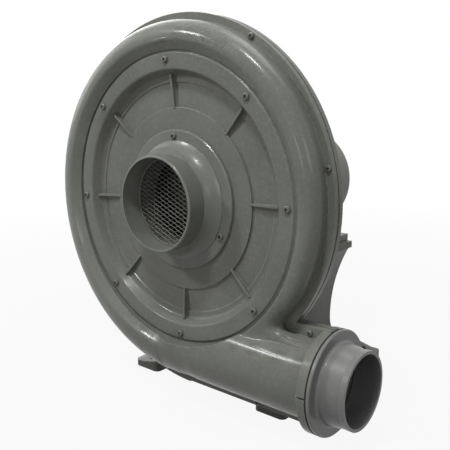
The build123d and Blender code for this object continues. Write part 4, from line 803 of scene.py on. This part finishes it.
@dataclass
class Fasteners:
    """All the screws that the front shows, with their places."""

    palette: Palette
    cover_circle: float = 181.0
    cover_clocking: float = 2.5
    cover_count: int = 8
    cover_screw: PanScrew = PanScrew()
    inlet_circle: float = 84.5
    inlet_angle: float = 92.4
    inlet_count: int = 3
    inlet_face: float = 7.6
    inlet_screw: PanScrew = PanScrew(shank_length=8.4)
    scroll_radius: float = 218.0
    scroll_growth: float = 12.0
    seam_angles: tuple[float, ...] = (14.0, 61.5, 118.0, 165.0, 212.0, 261.5)
    seam_offset: float = 4.7
    seam_front: float = 25.7
    seam_screw: PanScrew = PanScrew(radius=4.0, height=3.0, shank_radius=2.0, shank_length=21.0)
    seam_grip: float = 16.6
    seam_nut: float = 4.0
    duct_drop: float = 200.1
    duct_radius: float = 52.5
    tongue_x: float = 197.5
    duct_x: tuple[float, ...] = (120.0, 190.0)
    outlet_circle: float = 58.5
    outlet_seat: float = 216.0
    outlet_angle: float = 180.0
    outlet_count: int = 3
    outlet_screw: PanScrew = PanScrew(radius=4.5, height=4.0, shank_length=15.6)
    parting: float = 34.0

    def seam_seats(self) -> list[Vector]:
        """Work out where the seam screws sit.

        Returns:
            The seats on the front flange.
        """
        seats = []
        for angle in self.seam_angles:
            radius = self.scroll_radius + self.scroll_growth * angle / 90 + self.seam_offset
            seats.append(circle_point(radius, angle, self.seam_front))
        reach = self.duct_radius + self.seam_offset
        seats.append(shaft_point(self.tongue_x, self.seam_front, reach - self.duct_drop))
        for x in self.duct_x:
            seats.append(shaft_point(x, self.seam_front, -reach - self.duct_drop))
        return seats

    def outlet_seats(self) -> list[Vector]:
        """Work out where the outlet flange's screws sit.

        Returns:
            The seats on the casing side of the flange.
        """
        seats = []
        for angle in ring_angles(self.outlet_angle, self.outlet_count):
            turn = math.radians(angle)
            across = self.outlet_circle * math.cos(turn)
            lift = self.outlet_circle * math.sin(turn)
            seats.append(
                shaft_point(self.outlet_seat, self.parting + across, lift - self.duct_drop)
            )
        return seats

    def build(self) -> None:
        """Build the four sets."""
        angles = ring_angles(self.cover_clocking, self.cover_count)
        cover = [circle_point(self.cover_circle, angle, 0.0) for angle in angles]
        angles = ring_angles(self.inlet_angle, self.inlet_count)
        inlet = [circle_point(self.inlet_circle, angle, self.inlet_face) for angle in angles]
        ScrewSet("cover_screws", cover, self.cover_screw, self.palette).build()
        ScrewSet("inlet_screws", inlet, self.inlet_screw, self.palette).build()
        ScrewSet(
            "casing_screws",
            self.seam_seats(),
            self.seam_screw,
            self.palette,
            nut_radius=self.seam_nut,
            nut_drop=self.seam_grip,
        ).build()
        ScrewSet(
            "outlet_screws", self.outlet_seats(), self.outlet_screw, self.palette, Facing.LEFT
        ).build()


# Inlet guard


@dataclass
class InletGuard:
    """Woven wire guard in the inlet: two sets of crimped wires and a folded rim."""

    palette: Palette
    radius: float = 58.9
    depth: float = -5.6
    wire: float = 0.55
    thin_wire: float = 0.3
    wire_sides: int = 6
    pitch: float = 5.6
    turn: float = 65.0
    count: int = 10
    crimp: float = 0.5
    sample: float = 1.45
    side_gap: float = 3.0
    end_gap: float = 0.8
    rim_steps: int = 72
    rim_fold: tuple[Span, ...] = (
        (1.6, -1.7),
        (0.2, -1.9),
        (0.0, -1.4),
        (0.0, 1.4),
        (0.3, 1.7),
        (1.6, 1.5),
        (1.9, 0.4),
        (1.9, -1.2),
        (1.6, -1.7),
    )

    def lay_wire(
        self,
        spread: Vector,
        other: Vector,
        number: int,
        side: int,
        thick: float,
    ) -> Shape | None:
        """Sweep one crimped wire across the guard.

        Args:
            spread: Direction in which the wires of this set follow each other.
            other: The same direction of the crossing set.
            number: Number of the wire from the middle.
            side: Which way the wire starts its weave.
            thick: Radius of the wire.

        Returns:
            The wire, or nothing where it would miss the guard.
        """
        offset = number * self.pitch
        if abs(offset) > self.radius - self.side_gap:
            return None
        run = Vector((spread.y, -spread.x))
        half = math.sqrt((self.radius - self.end_gap) ** 2 - offset * offset)
        steps = max(2, round(2 * half / self.sample))
        part = bmesh.new()
        disc = bmesh.ops.create_circle(part, cap_ends=True, segments=self.wire_sides, radius=thick)
        ends = disc["verts"]
        turn = Vector((run.x, 0.0, run.y)).to_track_quat("Z", "Y").to_matrix()
        bmesh.ops.rotate(part, matrix=turn, verts=ends)
        face = part.faces[:][0]
        last = Vector()
        for step in range(steps + 1):
            spot = spread * offset + run * (2 * half * step / steps - half)
            wave = math.pi * (spot.dot(other) / self.pitch + number)
            at = Vector((spot.x, side * self.crimp * math.cos(wave), spot.y))
            if step == 0:
                bmesh.ops.translate(part, vec=at, verts=ends)
            else:
                face = bmesh.ops.extrude_discrete_faces(part, faces=[face])["faces"][0]
                bmesh.ops.translate(part, vec=at - last, verts=face.verts)
            last = at
        close_up(part)
        return part

    def build(self) -> None:
        """Weave the guard and set it in the nozzle's bore."""
        piece = Workpiece("inlet_guard_fine")
        middle = Matrix.Translation(shaft_point(0.0, self.depth, 0.0))
        slant = math.radians(self.turn)
        first = Vector((math.cos(slant), math.sin(slant)))
        second = Vector((first.x, -first.y))
        sets = ((first, second, -1, self.wire), (second, first, 1, self.thin_wire))
        for number in range(-self.count, self.count + 1):
            for spread, other, side, thick in sets:
                part = self.lay_wire(spread, other, number, side, thick)
                if part is not None:
                    piece.take(part, middle)
        fold = [(self.radius - inwards, height) for inwards, height in self.rim_fold]
        rim = piece.turn_profile(fold, self.rim_steps)
        piece.take(rim, middle @ facing_turn(Vector(Facing.FRONT.value)))
        piece.finish([self.palette.wire], "stand", ("inlet_guard",))


# Casing


@dataclass
class CastSkin:
    """A casing half as the foundry makes it: the spiral runs into the duct in one fair sweep."""

    node: str
    palette: Palette
    reach: Span = (-62.0, 78.0)
    core: Span = (-26.0, 34.0)
    top: float = 128.0
    valley: Span = (52.0, 176.0)
    valley_height: Span = (118.0, 182.0)
    flange_front: float = -166.3
    flange_rear: float = -147.7
    margin: float = 1.0
    pocket: float = 195.5
    facet: float = 5.0
    rounds: int = 6
    sharp: float = 0.7
    duct_start: float = 4.0
    passes: int = 12
    core_passes: int = 34
    pull: float = 0.5

    def in_valley(self, spot: Vector) -> bool:
        """Tell whether a point lies in the valley between the spiral and the duct."""
        across, up = self.valley, self.valley_height
        return across[0] < spot.x < across[1] and up[0] < spot.z < up[1]

    def is_free(self, spot: Vector, span: Span) -> bool:
        """Tell whether a point of the skin may move.

        Args:
            spot: Point in millimetres.
            span: Lowest and highest X of the stretch.

        Returns:
            True on the tube's skin between the flange and the cover's pocket.
        """
        low = span[0] < spot.x < span[1] and spot.z < self.top
        if not low and not self.in_valley(spot):
            return False
        if self.flange_front - self.margin < spot.y < self.flange_rear + self.margin:
            return False
        return math.hypot(spot.x, spot.z - SHAFT_HEIGHT) > self.pocket

    def holds(self, edge: bmesh.types.BMEdge) -> bool:
        """Tell whether an edge keeps its place.

        Args:
            edge: Edge of the casing half.

        Returns:
            True on open edges, and on sharp ones away from the two blends.
        """
        if len(edge.link_faces) != 2:
            return True
        start, end = (vert.co for vert in edge.verts)
        away = abs(start.x) > self.duct_start and not self.in_valley((start + end) / 2)
        return away and edge.calc_face_angle(0.0) > self.sharp

    def refine(self, shape: Shape) -> None:
        """Cut the long facets around the blend into short ones.

        Args:
            shape: The casing half in millimetres.
        """
        for _ in range(self.rounds):
            long = [
                edge
                for edge in shape.edges
                if edge.calc_length() > self.facet
                and self.is_free((edge.verts[0].co + edge.verts[1].co) / 2, self.reach)
            ]
            if not long:
                break
            bmesh.ops.subdivide_edges(shape, edges=long, cuts=1)
            wide = [face for face in shape.faces if len(face.verts) > 3]
            bmesh.ops.triangulate(shape, faces=wide)

    def fair(self, shape: Shape) -> None:
        """Draw the skin smooth, most where the spiral meets the duct.

        Args:
            shape: The casing half in millimetres.
        """
        bound = {vert for edge in shape.edges if self.holds(edge) for vert in edge.verts}
        for span, passes in ((self.reach, self.passes), (self.core, self.core_passes)):
            loose = [v for v in shape.verts if v not in bound and self.is_free(v.co, span)]
            for _ in range(passes):
                bmesh.ops.smooth_vert(
                    shape,
                    verts=loose,
                    factor=self.pull,
                    use_axis_x=True,
                    use_axis_y=True,
                    use_axis_z=True,
                )

    def build(self) -> None:
        """Copy the casing half, fair its blend and let the copy stand for it."""
        piece = Workpiece(self.node + "_skin")
        shape = piece.shape
        shape.from_mesh(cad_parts[self.node].data)
        bmesh.ops.remove_doubles(shape, verts=shape.verts, dist=WELD_DISTANCE)
        bmesh.ops.scale(shape, vec=(1 / MM, 1 / MM, 1 / MM), verts=shape.verts)
        self.refine(shape)
        self.fair(shape)
        piece.finish([self.palette.casting], "stand", (self.node,))


@dataclass
class GateStub:
    """Ground-off stub of the casting gate, which stays on the tube's crown."""

    palette: Palette
    middle: Span = (-10.0, 490.5)
    length: float = 27.0
    width: float = 6.0
    rise: float = 1.3
    sink: float = 0.25
    skirt: float = 0.8
    arc: float = 235.0
    arc_middle: float = 10.0
    cells: tuple[int, int] = (36, 10)
    ray_start: float = -0.4
    end_power: int = 6
    side_power: int = 4
    jag_level: float = 0.55
    jag_coarse: float = 0.45
    jag_fine: float = 0.2
    jag_scale: Span = (0.35, 0.5)

    def lift(self, x: float, z: float, along: float, across: float) -> float:
        """Work out how far the stub stands proud at a point.

        Args:
            x: Place along X.
            z: Height.
            along: Place along the stub, from -1 to 1.
            across: Place across the stub, from -1 to 1.

        Returns:
            The height over the casing.
        """
        flank = max(0.0, 1 - abs(along) ** self.end_power)
        flank *= max(0.0, 1 - abs(across) ** self.side_power)
        coarse = noise.noise(Vector((x * self.jag_scale[0], z * self.jag_scale[1], 2.0)))
        fine = noise.noise(Vector((x, z, 5.0)))
        jag = self.jag_level + self.jag_coarse * coarse + self.jag_fine * fine
        return self.rise * flank * jag - self.sink

    def build(self) -> None:
        """Lay a small ridge on the front casing and roughen it."""
        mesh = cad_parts["front_casing"].data
        skin = BVHTree.FromPolygons(
            [vert.co.copy() for vert in mesh.vertices],
            [list(polygon.vertices) for polygon in mesh.polygons],
        )
        piece = Workpiece("gate_stub")
        shape = piece.shape
        columns, rows = self.cells
        bmesh.ops.create_grid(shape, x_segments=columns, y_segments=rows, size=0.5)
        for vert in shape.verts:
            along, across = vert.co.x * 2, vert.co.y * 2
            x = self.middle[0] + along * self.length / 2
            sag = (x - self.arc_middle) ** 2 / (2 * self.arc)
            z = self.middle[1] + across * self.width / 2 - sag
            start = Vector((x * MM, self.ray_start, z * MM))
            hit = skin.ray_cast(start, Vector((0.0, 1.0, 0.0)))[0]
            vert.co = Vector((x, hit.y / MM - self.lift(x, z, along, across), z))
        rim = [edge for edge in shape.edges if edge.is_boundary]
        grown = bmesh.ops.extrude_edge_only(shape, edges=rim)["geom"]
        low = [item for item in grown if isinstance(item, bmesh.types.BMVert)]
        bmesh.ops.translate(shape, vec=(0.0, self.skirt, 0.0), verts=low)
        close_up(shape)
        piece.finish([self.palette.casting], "stand", slot="casing_paint")


@dataclass
class JointBead:
    """Paint that has run into the joint around the cover and lies just under its edge."""

    palette: Palette
    inner: float = 190.02
    outer: float = 192.18
    depth: float = 1.5
    thick: float = 1.0
    hollow: float = 0.3
    steps: int = 240

    def build(self) -> None:
        """Turn the bead and lay it in the joint."""
        piece = Workpiece("cover_joint_bead")
        low, high = -self.depth - self.thick, -self.depth
        profile = [
            (self.inner, high),
            ((self.inner + self.outer) / 2, high - self.hollow),
            (self.outer, high),
            (self.outer, low),
            (self.inner, low),
            (self.inner, high),
        ]
        turn = Matrix.Rotation(math.radians(90.0), 4, "X")
        place = Matrix.Translation(shaft_point(0.0, 0.0, 0.0)) @ turn
        piece.take(piece.turn_profile(profile, self.steps), place)
        # The bead takes the pedestal's darker paint, which paints shade into the joint.
        piece.finish([self.palette.stand], "stand", slot="casing_paint")


# Studio


@dataclass(frozen=True)
class Lamp:
    """Soft rectangular lamp. Its angles count from the front towards the right, and upwards."""

    name: str
    azimuth: float
    elevation: float
    size: Span
    power: float
    distance: float = 2.0
    aim: Triple = (0.0, -0.15, 0.28)

    def build(self) -> None:
        """Hang the lamp so that it faces the blower."""
        data = bpy.data.lights.new(self.name, "AREA")
        data.shape = "RECTANGLE"
        data.size, data.size_y = self.size
        data.energy = self.power
        way = heading(self.azimuth, self.elevation)
        spot = Matrix.Translation(Vector(self.aim) + way * self.distance)
        hang(self.name, data).matrix_world = spot @ facing_turn(way)


@dataclass
class Studio:
    """Camera, floor, world and lamps."""

    position: Triple = (0.57373, -0.76455, 0.41574)
    azimuth: float = 40.171
    elevation: float = 11.349
    roll: float = -0.538
    focal_pixels: float = 623.47
    frame_pixels: float = 450.0
    sensor: float = 36.0
    near_clip: float = 0.01
    floor_size: float = 12.0
    floor_tone: float = 0.26
    floor_glow: float = 0.92
    floor_fade: Span = (0.45, 1.7)
    ambient: float = 0.2
    lamps: tuple[Lamp, ...] = (
        Lamp("key_lamp", -40.0, 36.0, (0.26, 0.2), 18.0),
        Lamp("high_lamp", 14.0, 62.0, (0.32, 0.26), 25.0),
        Lamp("front_lamp", 12.0, 10.0, (0.2, 0.4), 2.8),
        Lamp("left_lamp", -82.0, 22.0, (0.8, 1.0), 5.5),
        Lamp("right_lamp", 68.0, 20.0, (0.6, 0.6), 5.5),
        Lamp("rear_lamp", 236.0, 28.0, (1.2, 1.2), 16.0),
        Lamp("top_lamp", 160.0, 74.0, (1.2, 1.0), 17.0),
    )

    def axes(self) -> tuple[Vector, Vector, Vector]:
        """Work out the camera's own axes.

        Returns:
            Right, up and back vectors.
        """
        turn, roll = math.radians(self.azimuth), math.radians(self.roll)
        back = heading(self.azimuth, self.elevation)
        right = Vector((math.cos(turn), math.sin(turn), 0.0))
        up = back.cross(right)
        return (
            math.cos(roll) * right + math.sin(roll) * up,
            math.cos(roll) * up - math.sin(roll) * right,
            back,
        )

    def build_camera(self) -> None:
        """Place the camera at the photograph's viewpoint."""
        data = bpy.data.cameras.new("view_camera")
        data.sensor_fit = "HORIZONTAL"
        data.sensor_width = self.sensor
        data.lens = self.focal_pixels / self.frame_pixels * self.sensor
        data.clip_start = self.near_clip
        camera = hang("view_camera", data)
        turn = Matrix(self.axes()).transposed().to_4x4()
        camera.matrix_world = Matrix.Translation(self.position) @ turn
        bpy.context.scene.camera = camera

    def seen_directly(self, board: Wiring) -> Socket:
        """Tell the rays that show the background from those that light the blower.

        Args:
            board: Tree to work in.

        Returns:
            A socket that is one for camera, glossy and transmitted rays.
        """
        path = board.add("ShaderNodeLightPath")
        last = path.outputs["Is Camera Ray"]
        for kind in ("Is Glossy Ray", "Is Transmission Ray"):
            last = board.maths("MAXIMUM", last, path.outputs[kind])
        return last

    def glow_share(self, board: Wiring) -> Socket:
        """Work out how white the floor shows, all white far from the blower.

        Args:
            board: Tree of the floor's material.

        Returns:
            Share of plain white, nothing for the rays that light the blower.
        """
        far = board.add("ShaderNodeVectorMath", operation="LENGTH")
        board.join(board.add("ShaderNodeTexCoord").outputs["Object"], far.inputs[0])
        fade = board.ramp(far.outputs["Value"], self.floor_fade, (self.floor_glow, 1.0))
        return board.maths("MULTIPLY", self.seen_directly(board), fade)

    def build_floor(self) -> None:
        """Lay the pale floor, which shows white but keeps the shadow."""
        sheet = bmesh.new()
        bmesh.ops.create_grid(sheet, x_segments=1, y_segments=1, size=self.floor_size / 2)
        mesh = bpy.data.meshes.new("studio_floor")
        sheet.to_mesh(mesh)
        sheet.free()
        floor = hang("studio_floor", mesh)
        material = bpy.data.materials.new("pale_floor")
        material.use_nodes = True
        board = Wiring(material.node_tree)
        board.tree.nodes.clear()
        matt = board.add("ShaderNodeBsdfDiffuse", Color=(*[self.floor_tone] * 3, 1.0)).outputs[0]
        glow = board.add("ShaderNodeEmission", Color=WHITE, Strength=1.0).outputs[0]
        board.close("ShaderNodeOutputMaterial", self.glow_share(board), matt, glow)
        mesh.materials.append(material)

    def build_world(self) -> None:
        """Set an even pale world that the camera sees as white."""
        world = bpy.data.worlds.new("studio_world")
        bpy.context.scene.world = world
        world.use_nodes = True
        board = Wiring(world.node_tree)
        board.tree.nodes.clear()
        dim, white = (
            board.add("ShaderNodeBackground", Color=WHITE, Strength=strength).outputs[0]
            for strength in (self.ambient, 1.0)
        )
        board.close("ShaderNodeOutputWorld", self.seen_directly(board), dim, white)

    def build(self) -> None:
        """Build the whole studio."""
        self.build_camera()
        self.build_floor()
        self.build_world()
        for lamp in self.lamps:
            lamp.build()
        bpy.context.scene.view_settings.view_transform = "Standard"
        LOG.info("built the studio with %d lamps", len(self.lamps))


# Solid nodes


@dataclass
class SolidDresser:
    """Gives each solid node its finish and clean shading."""

    palette: Palette
    crease: float = 28.0
    finishes: dict[str, tuple[str, ...]] = field(
        default_factory=lambda: {
            "casting": ("front_casing", "rear_casing"),
            # The pedestal's paint is darkened as painted shade.
            "stand": ("pedestal",),
            "cover": ("front_cover",),
            "nozzle": ("inlet_nozzle",),
            "outlet": ("outlet_nozzle",),
            "motor": (
                "motor_frame",
                "drive_end_shield",
                "rear_end_shield",
                "terminal_box",
                "terminal_box_lid",
            ),
            "cowl": ("fan_cowl",),
            "wire": ("inlet_guard",),
            "screw": ("casing_screws", "cover_screws", "inlet_screws", "outlet_screws"),
            "gasket": ("casing_gasket", "outlet_gasket", "terminal_box_gasket"),
            "rubber": ("shaft_seal",),
            "plastic": ("cable_gland", "terminal_block", "cooling_fan"),
            "copper": ("stator_windings",),
            "stack": ("stator_core", "rotor_core"),
            # The alloy finish is near black as painted shade for the parts inside.
            "alloy": (
                "impeller_backplate",
                "impeller_blades",
                "impeller_shroud",
                "impeller_hub",
                "impeller_washer",
                "impeller_bolt",
                "rotor_end_rings",
            ),
            "steel": ("shaft", "shaft_key", "fan_clip", "wave_spring"),
        }
    )

    def dress(self) -> None:
        """Assign finishes and smooth shading to every solid node."""
        kinds = {name: kind for kind, names in self.finishes.items() for name in names}
        for name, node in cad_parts.items():
            kind = kinds.get(name, "steel" if "bearing" in name else "zinc")
            node.data.materials.clear()
            node.data.materials.append(getattr(self.palette, kind))
            weld = node.modifiers.new("weld", "WELD")
            weld.merge_threshold = WELD_DISTANCE
            shade(node, self.crease)
            LOG.info("dressed %s with %s", name, kind)


def main() -> None:
    """Build the studio and every piece."""
    logging.basicConfig(level=logging.INFO, format="%(name)s: %(message)s")
    Studio().build()
    palette = Palette()
    SolidDresser(palette).dress()
    Fasteners(palette).build()
    InletGuard(palette).build()
    for node in ("front_casing", "rear_casing"):
        CastSkin(node, palette).build()
    GateStub(palette).build()
    JointBead(palette).build()
    bpy.context.view_layer.update()


if __name__ == "__main__":
    main()
